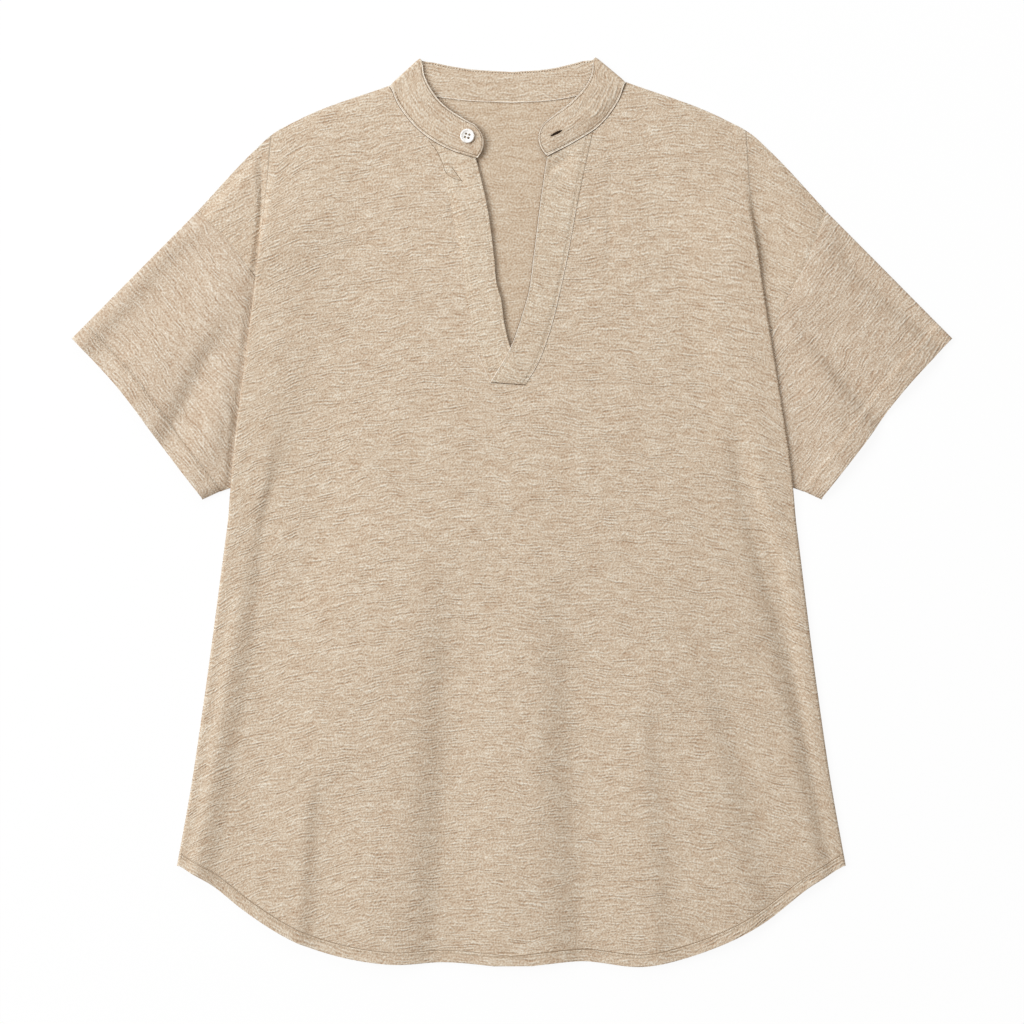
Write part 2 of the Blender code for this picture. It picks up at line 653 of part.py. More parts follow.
def band_sections():
    """Lines across the band, from its right end round the back to its left end."""
    halves = []
    for side in (RIGHT, LEFT):
        front = band_front(side)
        half = front + band_tip(side, front[-1][:, :2]) + band_back(side)
        halves.append([mirrored(side, line) for line in half])
    right, left = halves
    return np.array(right + left[:-1][::-1])


def collar_band():
    cloth = Cloth("collar_band", TRIM_COLOUR)
    cloth.add(band_sections(), TURNED_WALL)
    band = cloth.build()
    bpy.ops.mesh.primitive_cube_add(size=1)
    cutter = bpy.context.object
    cutter.name = "buttonhole_cutter"
    cutter.dimensions = (BUTTONHOLE_LENGTH * MM, BUTTONHOLE_WIDTH * MM, CUTTER_DEPTH * MM)
    cutter.location = (BUTTONHOLE_X * MM, BUTTONHOLE_Y * MM, ON_PLACKET * MM)
    cutter.rotation_euler = (0, 0, math.radians(BUTTONHOLE_TILT))
    store_cutter(cutter)
    slit = band.modifiers.new("buttonhole", "BOOLEAN")
    slit.operation = "DIFFERENCE"
    slit.solver = "EXACT"
    slit.object = cutter
    return band


def placket(side, name, crossing):
    """One strip down the slit's edge. crossing is the extra height where it crosses the other."""
    cloth = Cloth(name, TRIM_COLOUR)
    share = np.linspace(0, 1, 15)
    outer = at_share(through(side.placket_outer), share)
    inner = at_share(through(side.placket_inner), share)
    across = np.linspace(0, 1, 4)[None, :, None]
    flat = mirrored(side, outer[:, None] + across * (inner - outer)[:, None])
    height = front_height(flat[..., 0], flat[..., 1]) - ON_BACK + ON_FRONT
    height = height + crossing * ease((CROSSING_TOP - flat[..., 1]) / CROSSING_RUN)
    cloth.add(lifted(flat, height), TURNED_WALL)
    return cloth.build()


def store_cutter(cutter):
    for holder in list(cutter.users_collection):
        holder.objects.unlink(cutter)
    bpy.data.collections["cutters"].objects.link(cutter)
    cutter.hide_render = True
    cutter.display_type = "WIRE"


def button():
    """A turned disc with a raised rim and four holes."""
    base = ON_PLACKET + TURNED_WALL / 2 + GAP
    mesh = bpy.data.meshes.new("button")
    bm = bmesh.new()
    corners = [bm.verts.new((r * MM, 0, z * MM)) for r, z in BUTTON_PROFILE]
    for a, b in zip(corners, corners[1:]):
        bm.edges.new((a, b))
    bm.to_mesh(mesh)
    bm.free()
    piece = place("button", mesh, BUTTON_COLOUR, 0.35)
    piece.location = (BUTTON_X * MM, BUTTON_Y * MM, base * MM)
    screw = piece.modifiers.new("turned", "SCREW")
    screw.steps = screw.render_steps = BUTTON_STEPS
    screw.use_merge_vertices = True
    screw.merge_threshold = 0.00001
    for k in range(4):
        angle = math.radians(45 + 90 * k)
        bpy.ops.mesh.primitive_cylinder_add(vertices=HOLE_SIDES, radius=BUTTON_HOLE_RADIUS * MM,
                                            depth=CUTTER_DEPTH * MM)
        cutter = bpy.context.object
        cutter.name = f"button_hole_cutter_{k}"
        reach = BUTTON_HOLE_REACH * math.sqrt(2) * MM
        cutter.location = (piece.location.x + reach * math.cos(angle),
                           piece.location.y + reach * math.sin(angle), base * MM)
        store_cutter(cutter)
        hole = piece.modifiers.new(f"hole_{k}", "BOOLEAN")
        hole.operation = "DIFFERENCE"
        hole.solver = "EXACT"
        hole.object = cutter
    return piece


def main():
    for old in list(bpy.data.objects):
        bpy.data.objects.remove(old)
    for name in ("v_neck_top", "cutters"):
        bpy.context.scene.collection.children.link(bpy.data.collections.new(name))
    folds = [FoldedEdge(side) for side in (RIGHT, LEFT)]
    back_panel(folds)
    front_panel(folds)
    sleeve(folds[0], "sleeve_right")
    sleeve(folds[1], "sleeve_left")
    placket(RIGHT, "placket_right", 0)
    placket(LEFT, "placket_left", TURNED_WALL + GAP)
    collar_band()
    button()


main()
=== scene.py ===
"""Looks of the v-neck top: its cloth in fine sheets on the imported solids, stitches, and materials.

Lengths are in millimetres until a mesh is made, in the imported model's frame: +Y runs to the collar,
+X to the wearer's left and +Z up, from the surface that the top lies on. `outward x` is x away
from the middle, on either side.
"""
import math
from collections import namedtuple
from functools import reduce

import bmesh
import bpy
import numpy as np
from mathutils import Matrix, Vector, noise
from mathutils.bvhtree import BVHTree


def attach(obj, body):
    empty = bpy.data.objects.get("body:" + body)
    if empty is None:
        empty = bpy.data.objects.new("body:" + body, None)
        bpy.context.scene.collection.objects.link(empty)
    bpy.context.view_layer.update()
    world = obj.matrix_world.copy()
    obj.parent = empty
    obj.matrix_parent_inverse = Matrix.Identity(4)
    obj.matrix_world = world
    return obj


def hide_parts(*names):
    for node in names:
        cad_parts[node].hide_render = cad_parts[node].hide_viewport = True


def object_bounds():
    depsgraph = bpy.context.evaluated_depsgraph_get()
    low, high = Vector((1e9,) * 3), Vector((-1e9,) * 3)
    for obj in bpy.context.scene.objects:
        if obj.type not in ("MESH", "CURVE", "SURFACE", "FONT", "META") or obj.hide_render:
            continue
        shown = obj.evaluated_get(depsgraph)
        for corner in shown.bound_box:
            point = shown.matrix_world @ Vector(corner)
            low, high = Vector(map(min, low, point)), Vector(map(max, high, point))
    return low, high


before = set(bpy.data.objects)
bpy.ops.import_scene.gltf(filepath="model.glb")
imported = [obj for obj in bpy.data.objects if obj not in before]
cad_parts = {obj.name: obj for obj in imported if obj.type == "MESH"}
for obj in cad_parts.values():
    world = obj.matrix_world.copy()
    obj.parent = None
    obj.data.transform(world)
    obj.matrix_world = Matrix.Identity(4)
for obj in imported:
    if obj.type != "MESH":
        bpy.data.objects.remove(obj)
CAD_LOW, CAD_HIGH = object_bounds()

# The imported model's width sets the scale, and its middle the origin
MODEL_WIDTH = 704.2
MM = (CAD_HIGH.x - CAD_LOW.x) / MODEL_WIDTH
MIDDLE_X = (CAD_HIGH.x + CAD_LOW.x) / 2

# Walls and the air between them
WALL = 1.0           # one ply of jersey
TURNED_WALL = 1.6    # turned hem or cuff, band and plackets
GAP = 0.3
ROUNDING = 0.28      # of every cut or turned edge
CLOTH_CORNER, SHARP_FROM = 60, 50      # angles from which an edge is rounded, and shaded as sharp

# Heights of the middle of a wall
ON_FLOOR = WALL / 2
TURN_CLEARANCE = 0.15
ON_BACK = 2.1
ON_FRONT = ON_BACK + (WALL + TURNED_WALL) / 2 + GAP
ON_PLACKET = ON_FRONT + TURNED_WALL + GAP

HEM_DEPTH, CUFF_DEPTH = 10, 16
FRONT_SWELL = 5.8
FRONT_SWELL_FROM_Y, FRONT_SWELL_FULL_Y = 150, -150
Swell = namedtuple("Swell", "height run beside_fold beside_run starts")
SLEEVE_SWELLS = {-1: Swell(4.6, 32, 2.6, 5.0, 1), 1: Swell(5.6, 36, 0.3, 12, 7)}
SWELL_BY_Y = ([150, 250], [1, 0.3])
FOLD_SETTLES = ([-100, -40, 30, 90, 200], [15, 18, 34, 60, 80])     # by height, in from that edge
BED_LAP = 2
HIDDEN_LAP = 1
SEAM_STEP = (0.4, -GAP)
NECK_STEP = 0.4
SLEEVE_CLEARANCE = 0.05

SLIT_HALF_WIDTH, SLIT_BOTTOM, SLIT_CORNER = 14, 118, 3
PLACKET_LAP, BAND_LAP = 8, 4
BAND_INWARDS = (-0.62, 0.78)

BUTTON_X, BUTTON_Y = -35.7, 300.1
BUTTON_HOLE_RADIUS, BUTTON_HOLE_REACH = 0.95, 1.4
BUTTON_TURN = 30
BUTTON_PROFILE = [
    (0, 1.45), (2.6, 1.45), (3.3, 1.5), (3.9, 1.75), (4.4, 2.15), (4.8, 2.3), (5.2, 2.25),
    (5.55, 2.0), (5.75, 1.6), (5.7, 1.1), (5.45, 0.7), (4.7, 0.25), (3.6, 0.02), (0, 0),
]
BUTTONHOLE_LENGTH, BUTTONHOLE_WIDTH = 10.5, 2.2
BUTTONHOLE_X, BUTTONHOLE_Y, BUTTONHOLE_TILT = 35.5, 302.5, 27

# Rows of the torso by height at its side, between the rows that have to be there
UNDERARM_Y, HEM_Y = 26, -273
KEY_ROWS = [301, 262, 113, UNDERARM_Y, HEM_Y]
ROW_STEP, ROW_INSET = 4.2, 0.3       # between rows at the side, and at least at the outline
COLUMN_COUNT = 80
HEM_ROWS = [0.05, 0.2, 0.28, 0.33, 0.38, 0.6, 0.85, 1.0]


def nearest(values, value):
    return int(np.argmin(np.abs(np.array(values) - value)))


def rows_between(keys, step):
    rows = [keys[0]]
    for a, b in zip(keys, keys[1:]):
        rows += list(np.linspace(a, b, round((a - b) / step) + 1)[1:])
    return rows


ROW_Y = rows_between(KEY_ROWS, ROW_STEP) + [HEM_Y - HEM_DEPTH * share for share in HEM_ROWS]
PLACKET_TOP_ROW, SLIT_BOTTOM_ROW, UNDERARM_ROW, HEM_ROW = (
    nearest(ROW_Y, y) for y in KEY_ROWS[1:])
ROW_WALLS = np.where(np.arange(len(ROW_Y)) > HEM_ROW, TURNED_WALL, WALL)[:, None]
HEM_GROOVE = [0.25, 0.4, 0.05, 0.1, 0.15, 0.1, 0, 0, 0]      # depth from the hem line to its edge
GROOVE_BY_X = ([40, 130], [0.4, 1.7])
COLUMNS = np.linspace(0, 1, COLUMN_COUNT + 1)
TURN_STEPS = 9       # points round a turn

# Outlines of each side, as (x, y) with x outwards from the middle
Side = namedtuple("Side", """sign outline_top folded_edge side_edge armhole_front armhole_back hem
    neck_seam band_top neck_seam_back band_top_back placket_outer placket_inner""")
SLEEVE_TOP = [(251, 241), (352, 139)]
CUFF = [(352, 139), (314, 98), (278, 50), (246, 9)]
UNDERARM = [(201, 26), (226, 18), (246, 9)]
ARMHOLE_BACK = [(251, 241), (226, 150), (208, 80), (201, 26)]
SHOULDER_TO_CUFF = [(168, 315), (193, 301), (205, 290), (251, 241)]

RIGHT = Side(
    sign=-1,
    outline_top=[(98, 341), *SHOULDER_TO_CUFF],
    folded_edge=[(193, 301), (197, 255), (204, 196), (212, 131), (222, 52), (227, -6)],
    side_edge=[(227, -6), (246, -148), (257, -222), (268, -283)],
    armhole_front=[(251, 241), (228, 219), (205, 188)],
    armhole_back=ARMHOLE_BACK,
    hem=[(0, -364), (50, -360), (100, -361), (170, -345), (216, -318), (242, -298),
         (268, -283)],
    neck_seam=[(98, 341), (91, 327), (73, 305), (53, 292), (28, 283)],
    band_top=[(74, 363), (69, 345), (57, 327), (39, 314), (30, 309)],
    neck_seam_back=[(98, 341), (62, 333), (39, 330), (0, 328)],
    band_top_back=[(74, 363), (60, 359), (39, 355), (0, 352)],
    placket_outer=[(61, 299), (50, 251), (40, 203), (34, 162), (17, 106)],
    placket_inner=[(30, 287), (20.4, 247), (14.2, 202), (12.4, 183), (8.8, 170), (6.4, 152),
                   (1.4, 131.5), (-9, 107)],
)
LEFT = Side(
    sign=1,
    outline_top=[(91, 344), *SHOULDER_TO_CUFF],
    folded_edge=[(187, 304), (191, 250), (199, 190), (215, 88), (223, 34), (227, -6)],
    side_edge=[(227, -6), (245, -148), (256, -222), (267, -283)],
    armhole_front=[(251, 241), (236, 203), (218, 168), (207, 143)],
    armhole_back=ARMHOLE_BACK,
    hem=[(0, -364), (55, -359), (105, -363), (165, -347), (205, -326), (240, -299),
         (267, -283)],
    neck_seam=[(91, 344), (86, 332), (70, 310), (49, 296), (28, 285)],
    band_top=[(67, 364), (62, 345), (46, 326), (34, 317), (27, 311)],
    neck_seam_back=[(91, 344), (55, 334), (33, 330), (0, 328)],
    band_top_back=[(67, 364), (50, 359), (33, 355), (0, 352)],
    placket_outer=[(65, 306), (57, 270), (39, 178), (31, 146), (20, 117), (11, 102)],
    placket_inner=[(29, 290), (25, 264), (17, 202), (14.2, 180), (7.4, 155), (-1, 132), (-17, 104)],
)

# The torso's folded edge: the cloth turns down through an angle, runs on and turns back
Edge = namedtuple("Edge", "y angle turn run")
EDGES = [
    Edge(301, 2, 7.5, 0.8), Edge(282, 5, 7.5, 0.8), Edge(262, 14, 5.0, 0.8),
    Edge(243, 40, 4.0, 0.8), Edge(224, 90, 3.4, 1.2), Edge(205, 140, 3.14, 2.2),
    Edge(187, 180, 3.14, 4.0), Edge(138, 180, 3.14, 8.5), Edge(84, 180, 3.14, 15),
    Edge(26, 180, 3.14, 22),
]
Wrap = namedtuple("Wrap", "y run height radius")
WRAPS = [
    Wrap(26, 22, 4.1, 1.0), Wrap(12, 17.5, 4.1, 1.0), Wrap(-8, 10, ON_FLOOR, 2.2),
    Wrap(-32, 7, ON_FLOOR, 2.3), Wrap(-60, 5, ON_FLOOR, 2.3), Wrap(-90, 3, ON_FLOOR, 2.2),
    Wrap(-260, 2, ON_FLOOR, 2.0), Wrap(-283, 1.5, TURNED_WALL / 2, 1.5),
]

# Troughs from (x0, y0) to (x1, y1), bowed sideways at the middle, deepest at their far end, with a
# half-width on each side. The left side of a fold turns from the light, so it's the steeper one.
Trough = namedtuple("Trough", "x0 y0 x1 y1 bow depth left right")
FRONT_TROUGHS = [
    Trough(-166, 130, -233, -290, 0, 5.6, 14, 56),
    Trough(-149, -180, -157, -350, 0, 4.0, 13, 32),
    Trough(-46, -10, -60, -366, -2, 5.8, 18, 40),
    Trough(45, -20, 60, -366, 2, 5.2, 18, 40),
    Trough(116, -110, 134, -355, 0, 2.6, 16, 30),
    Trough(152, -90, 208, -300, -3, 3.2, 14, 28),
    Trough(168, 110, 257, -262, -2, 5.8, 12, 26),
]
SLEEVE_TROUGHS = [
    Trough(-222, 160, -276, 56, 0, 4.6, 9, 20),
    Trough(-230, 238, -314, 145, 0, 4.2, 14, 30),
    Trough(216, 172, 297, 71, 0, 6.2, 9, 18),
    Trough(247, 228, 341, 139, 0, 6.4, 11, 9),
]
TROUGH_FADE, CREASE_FADE = 0.4, 0.3       # shares of their lengths

# Small creases: a height and a half-width, fading at both ends. They run down or
# to the left, and a valley is steeper on the side that lies to the left of its run as it is seen.
GENTLE_SIDE = 2.0
Crease = namedtuple("Crease", "x0 y0 x1 y1 height half_width")
CREASES = [
    Crease(-52, 282, -37, 258, -1.4, 1.6), Crease(-51, 262, -42, 200, -0.8, 1.8),
    Crease(-100, 298, -70, 258, -0.8, 2.6), Crease(-44, 246, -30, 226, 0.8, 1.6),
    Crease(50, 288, 25, 271, -1.7, 2.2), Crease(46, 276, 32, 262, -0.9, 2.4),
    Crease(165, 200, 177, 10, 1.3, 6.0),
    Crease(74, 236, 50, 229, -1.0, 1.6), Crease(80, 298, 76, 170, -0.5, 3.0),
    Crease(126, 262, 100, 302, -0.6, 3.0), Crease(-92, 284, -130, 296, -0.6, 3.0),
    Crease(-96, 276, -156, 258, -0.6, 3.2), Crease(-84, 226, -146, 210, -0.6, 3.2),
    Crease(-96, 184, -150, 172, -0.5, 3.2), Crease(162, 230, 104, 246, -0.6, 3.2),
    Crease(154, 186, 98, 198, -0.6, 3.2),
]
SLEEVE_CREASES = [
    Crease(-286, 190, -266, 180, 1.2, 1.3), Crease(-213, 137, -224, 142, 1.3, 1.5),
    Crease(-216, 120, -227, 130, 1.2, 1.5), Crease(-230, 92, -222, 62, 1.0, 2.0),
    Crease(216, 128, 229, 138, 1.2, 1.6), Crease(224, 86, 240, 97, 1.1, 1.6),
    Crease(226, 258, 246, 224, -0.7, 0.9), Crease(-229, 258, -215, 239, -0.8, 0.9),
    Crease(-318, 112, -296, 132, 0.7, 2.2), Crease(316, 110, 292, 134, 0.7, 2.2),
    Crease(-226, 140, -241, 30, 1.8, 7.0),
]
OPENING_EDGE = ([105, 131, 190, 250], [0, 2, 13, 21])      # half its width, by height
OPENING_RISE, OPENING_SPREAD = 1.1, 26
OPENING_FROM, OPENING_TO, OPENING_FADES = 96, 288, (26, 40)
UNEVEN_REACH, UNEVEN_HEIGHT = 34, 0.55        # soft unevenness of cloth that lies loose
RUMPLE_REACH, RUMPLE_HEIGHT = 12, 0.16
FRONT_SEED, SLEEVE_SEED, RUMPLE_SEED = 3.1, 9.7, 7.3
PROBE_HEIGHT = 40        # where the rays that look for cloth start


# --- curves ---

LEAST_STEP, TOLERANCE = 0.001, 0.01


def through(points, per_span=24):
    """A dense polyline on the smooth curve through the points."""
    p = np.array(points, float)
    if len(p) == 2:
        return p[0] + (p[1] - p[0]) * np.linspace(0, 1, per_span)[:, None]
    at = np.concatenate([[0], np.cumsum(np.linalg.norm(np.diff(p, axis=0), axis=1))])
    slope = np.gradient(p, at, axis=0)
    line = [p[:1]]
    for k in range(len(p) - 1):
        span = at[k + 1] - at[k]
        t = np.linspace(0, 1, per_span + 1)[1:, None]
        line.append((2 * t**3 - 3 * t**2 + 1) * p[k] + (t**3 - 2 * t**2 + t) * span * slope[k]
                    + (3 * t**2 - 2 * t**3) * p[k + 1] + (t**3 - t**2) * span * slope[k + 1])
    return np.concatenate(line)


def lengths(line):
    return np.concatenate([[0], np.cumsum(np.linalg.norm(np.diff(line, axis=0), axis=1))])


def at_length(line, where):
    along = lengths(line)
    return np.stack([np.interp(where, along, c) for c in line.T], -1)


def at_share(line, share):
    return at_length(line, np.asarray(share) * lengths(line)[-1])


def at_height(line, ys):
    """Points of a falling line at the given heights."""
    return np.stack([np.interp(-np.asarray(ys), -line[:, 1], line[:, 0]), ys], -1)


def units(rows):
    """Each row as a direction."""
    return rows / np.maximum(np.linalg.norm(rows, axis=1), LEAST_STEP)[:, None]


def unit(vector):
    return np.array(vector, float) / np.hypot(*vector)


def offset(line, distance):
    """The line moved sideways, to its left as it runs."""
    run = units(np.gradient(line, axis=0))
    return line + np.stack([-run[:, 1], run[:, 0]], -1) * distance


def ease(t):
    t = np.clip(t, 0, 1)
    return t * t * (3 - 2 * t)


def table(rows, column, ys):
    """A column of a table of rows by falling y, read at each of ys."""
    return np.interp(-np.asarray(ys), [-r.y for r in rows], [getattr(r, column) for r in rows])


# --- heights ---

def beside(row, x, y):
    """Each point's share of the way along a trough or crease, and how far it is to its right."""
    run = np.array([row.x1 - row.x0, row.y1 - row.y0], float)
    reach = np.hypot(*run)
    along = ((x - row.x0) * run[0] + (y - row.y0) * run[1]) / reach**2
    return along, ((x - row.x0) * run[1] - (y - row.y0) * run[0]) / reach


def troughs(rows, x, y):
    deepest = np.zeros(np.broadcast(x, y).shape)
    for row in rows:
        along, aside = beside(row, x, y)
        bow = row.bow * 4 * along * (1 - along)
        depth = row.depth * ease(along / TROUGH_FADE)
        width = np.where(aside > bow, row.left, row.right)
        deepest = np.maximum(deepest, depth * np.exp(-((aside - bow) / width) ** 2))
    return deepest


def creases(rows, x, y):
    height = np.zeros(np.broadcast(x, y).shape)
    for row in rows:
        along, aside = beside(row, x, y)
        fade = ease(along / CREASE_FADE) * ease((1 - along) / CREASE_FADE)
        width = row.half_width * np.where((aside > 0) == (row.height < 0), 1, GENTLE_SIDE)
        height += row.height * fade * np.exp(-(aside / width) ** 2)
    return height


def uneven(x, y, reach, seed):
    """Smooth unevenness from 0 to 1."""
    x, y = np.broadcast_arrays(x, y)
    values = [noise.noise(Vector((a / reach, b / reach, seed)))
              for a, b in zip(x.ravel(), y.ravel())]
    return np.clip(0.5 + np.array(values), 0, 1).reshape(x.shape)


def loose(x, y, seed):
    return (UNEVEN_HEIGHT * uneven(x, y, UNEVEN_REACH, seed)
            + RUMPLE_HEIGHT * uneven(x, y, RUMPLE_REACH, seed + RUMPLE_SEED))


def opening_rise(x, y):
    """The cloth stands up a little along the opening's edges."""
    reach = np.interp(y, *OPENING_EDGE)
    near = np.exp(-(np.maximum(np.abs(x) - reach, 0) / OPENING_SPREAD) ** 2)
    along = (ease((y - OPENING_FROM) / OPENING_FADES[0])
             * ease((OPENING_TO - y) / OPENING_FADES[1]))
    return OPENING_RISE * near * along


def front_height(x, y):
    """The middle of the front's wall, away from its folded edges."""
    fall = (FRONT_SWELL_FROM_Y - y) / (FRONT_SWELL_FROM_Y - FRONT_SWELL_FULL_Y)
    swell = FRONT_SWELL * ease(fall)
    fold = np.maximum(swell - troughs(FRONT_TROUGHS, x, y), 0)
    return ON_BACK + fold + opening_rise(x, y)


def front_detail(x, y):
    return loose(x, y, FRONT_SEED) + creases(CREASES, x, y)


def front_top(x, y):
    """The front's upper face, away from its folded edges."""
    return front_height(x, y) + front_detail(x, y) + WALL / 2


def sleeve_height(side, x, y):
    """The middle of the upper sleeve's wall, and of the front outside its folded edge."""
    rows = np.clip(y, ROW_Y[-1], ROW_Y[0]).ravel()
    edge = at_height(folded_line(side), rows)[:, 0].reshape(y.shape)
    swell = SLEEVE_SWELLS[side.sign]
    past = np.abs(x) - edge - swell.starts
    broad = (swell.height - swell.beside_fold) * ease(past / swell.run) * np.interp(y, *SWELL_BY_Y)
    rise = swell.beside_fold * ease(past / swell.beside_run) + broad
    return ON_BACK + np.maximum(rise - troughs(SLEEVE_TROUGHS, x, y), 0)


# --- cloth ---

def to_metres(point):
    return (MIDDLE_X + point[0] * MM, point[1] * MM, CAD_LOW.z + point[2] * MM)


def new_object(name, mesh, material):
    mesh.materials.append(material)
    piece = bpy.data.objects.new(name, mesh)
    bpy.context.scene.collection.objects.link(piece)
    return piece


def finished(bm, name, material):
    """The piece that a bmesh makes."""
    mesh = bpy.data.meshes.new(name)
    bm.to_mesh(mesh)
    bm.free()
    return new_object(name, mesh, material)


def smooth(mesh):
    mesh.polygons.foreach_set("use_smooth", [True] * len(mesh.polygons))


def cut(piece, cutter):
    hole = piece.modifiers.new("cut", "BOOLEAN")
    hole.operation, hole.solver, hole.object = "DIFFERENCE", "EXACT", cutter


def rounded(piece, width, corner):
    """The same piece with its corners rounded, its modifiers applied and its faces smooth."""
    rim = piece.modifiers.new("rim", "BEVEL")
    rim.width, rim.segments = width * MM, 2
    rim.limit_method, rim.angle_limit = "ANGLE", math.radians(corner)
    graph = bpy.context.evaluated_depsgraph_get()
    mesh = bpy.data.meshes.new_from_object(piece.evaluated_get(graph))
    piece.modifiers.clear()
    old, piece.data = piece.data, mesh
    mesh.name = piece.name
    bpy.data.meshes.remove(old)
    smooth(mesh)
    mesh.set_sharp_from_angle(angle=math.radians(SHARP_FROM))
    return piece


class Cloth:
    """Quads through the middle of one piece's wall, with the wall and the grain at each point."""

    def __init__(self, name):
        self.name = name
        self.points, self.walls, self.grain, self.faces = [], [], [], []
        self.index = {}

    def corner(self, point, wall, grain):
        key = tuple(round(float(c), 3) for c in point)
        if key not in self.index:
            self.index[key] = len(self.points)
            self.points.append(key)
            self.walls.append(float(wall))
            self.grain.append(tuple(float(c) for c in grain))
        return self.index[key]

    def add(self, grid, wall, grain=None):
        """Adds rows of points as quads. Grain is each point's place on the knit, in millimetres."""
        walls = np.broadcast_to(wall, grid.shape[:2])
        grain = grid[..., :2] if grain is None else grain
        ids = [[self.corner(p, w, g) for p, w, g in zip(*row)]
               for row in zip(grid, walls, grain)]
        for upper, lower in zip(ids, ids[1:]):
            for k in range(len(upper) - 1):
                face = dict.fromkeys([upper[k], lower[k], lower[k + 1], upper[k + 1]])
                if len(face) > 2:
                    self.faces.append(list(face))

    def build(self, material, cutter=None):
        mesh = bpy.data.meshes.new(self.name)
        mesh.from_pydata([to_metres(p) for p in self.points], [], self.faces)
        knit = mesh.uv_layers.new(name="knit")
        corners = np.zeros(len(mesh.loops), int)
        mesh.loops.foreach_get("vertex_index", corners)
        knit.data.foreach_set("uv", np.array(self.grain, np.float32)[corners].ravel())
        bm = bmesh.new()
        bm.from_mesh(mesh)
        bmesh.ops.recalc_face_normals(bm, faces=bm.faces)
        bm.to_mesh(mesh)
        bm.free()
        piece = new_object(self.name, mesh, material)
        group = piece.vertex_groups.new(name="wall")
        for k, wall in enumerate(self.walls):
            group.add([k], wall / TURNED_WALL, "REPLACE")
        shell = piece.modifiers.new("wall", "SOLIDIFY")
        shell.thickness, shell.offset = TURNED_WALL * MM, 0
        shell.use_quality_normals = True
        shell.vertex_group = group.name
        if cutter is not None:
            cut(piece, cutter)
        return rounded(piece, ROUNDING, CLOTH_CORNER)


def lifted(flat, height):
    return np.concatenate([flat, np.broadcast_to(height, flat.shape[:-1])[..., None]], -1)


def mirrored(side, points):
    """Outward x as world x."""
    return points * np.array([side.sign, 1, 1][:points.shape[-1]])


def turned(points, degrees):
    """Grain turned by an angle, for cloth whose courses don't run straight across."""
    c, s = math.cos(math.radians(degrees)), math.sin(math.radians(degrees))
    return np.stack([points[..., 0] * c + points[..., 1] * s,
                     points[..., 1] * c - points[..., 0] * s], -1)


# --- the torso's folded edge ---

def folded_line(side):
    return np.concatenate([through(side.folded_edge), through(side.side_edge)[1:]])


def armhole_back(side):
    return at_share(through(side.armhole_back), np.linspace(0, 1, UNDERARM_ROW + 1))


def turn_profile(angle, turn, run):
    """Outward steps and falls through a turn down, a run, and a turn back."""
    angle = math.radians(angle)
    radius = turn / angle
    steps = np.linspace(0, angle, TURN_STEPS)
    down = np.stack([radius * np.sin(steps), -radius * (1 - np.cos(steps))], -1)
    along = down[-1] + np.outer([0.5, 1], [run * math.cos(angle), -run * math.sin(angle)])
    back = along[-1] + np.stack([radius * (math.sin(angle) - np.sin(steps[::-1])),
                                 -radius * (np.cos(steps[::-1]) - math.cos(angle))], -1)
    return np.concatenate([down, along]), back[1:]


class FoldedEdge:
    """One side's folded edge and armhole seam, a section for each of ROW_Y, in outward x."""

    def __init__(self, side):
        line = folded_line(side)
        self.side = side
        self.edge = at_height(line, np.clip(ROW_Y, line[-1, 1], line[0, 1]))
        self.edge[:, 1] = np.where(np.arange(len(ROW_Y)) == 0, line[0, 1], self.edge[:, 1])
        self.turns, self.laps = [], []
        for row in range(len(ROW_Y)):
            section = self.step_section(row) if row <= UNDERARM_ROW else self.wrap_section(row)
            self.turns.append(section[:TURN_STEPS + 2])
            self.laps.append(section[TURN_STEPS + 1:])
        self.starts = np.array([turn[0] for turn in self.turns])
        self.seam = self.armhole_seam()

    def step_section(self, row):
        """Where the sleeve lies beside the torso: down, back under, and out again."""
        x, y = self.edge[row]
        above, below = turn_profile(*(table(EDGES, c, y) for c in ("angle", "turn", "run")))
        foot = sleeve_height(self.side, np.array([self.side.sign * x]), np.array([y]))[0]
        across = x - above[:, 0].max() - WALL / 2 + np.concatenate([above, below])[:, 0]
        height = foot - below[-1, 1] + np.concatenate([above, below])[:, 1]
        outline = through(self.side.outline_top)
        down = np.interp(across, outline[:, 0], outline[:, 1]) - ROW_INSET * row
        if row > 0:
            down = np.minimum(down, y)
        return np.stack([across, down, height], -1)

    def wrap_section(self, row):
        """Below the sleeve: down on to the surface, and back under to the side seam."""
        x, y = self.edge[row]
        radius, run = table(WRAPS, "radius", y), table(WRAPS, "run", y)
        above, _ = turn_profile(180, math.pi * radius, run)
        across = x - radius - ROW_WALLS[row, 0] / 2 + above[:, 0]
        height = table(WRAPS, "height", y) + TURN_CLEARANCE + 2 * radius + above[:, 1]
        return np.stack([across, np.full(len(across), y), height], -1)

    def armhole_seam(self):
        seam = through(self.side.armhole_front)
        rows = np.array(ROW_Y[:UNDERARM_ROW + 1], float)
        share = np.clip((rows[0] - rows) / (rows[0] - seam[-1, 1]), 0, 1)
        points = at_height(seam, seam[0, 1] + share * (seam[-1, 1] - seam[0, 1]))
        for row, lap in enumerate(self.laps[:UNDERARM_ROW + 1]):
            hidden = lap[-1, 0] + HIDDEN_LAP
            if rows[row] < seam[-1, 1] or points[row, 0] < hidden:
                points[row] = hidden, rows[row]
        return points

    def seam_on_floor(self):
        return np.array([turn[-1] for turn in self.turns[UNDERARM_ROW:]])


# --- panels ---

BACK_HEM_UP = 1          # so that the back stays hidden
SHOULDER_FROM = 0.006    # share of the back's outline that its neck takes
CORNER_POWER = 4         # how closely a hem's corrections keep to its side
BAND_LAP_RUN = 0.25      # share of the neck seam over which the front grows under the band
NECK_RUN = 0.2           # share of the shoulder line that is drawn to the neck's corner
DETAIL_RUN = 30          # over which the cloth's detail comes in beside a fold or above the hem
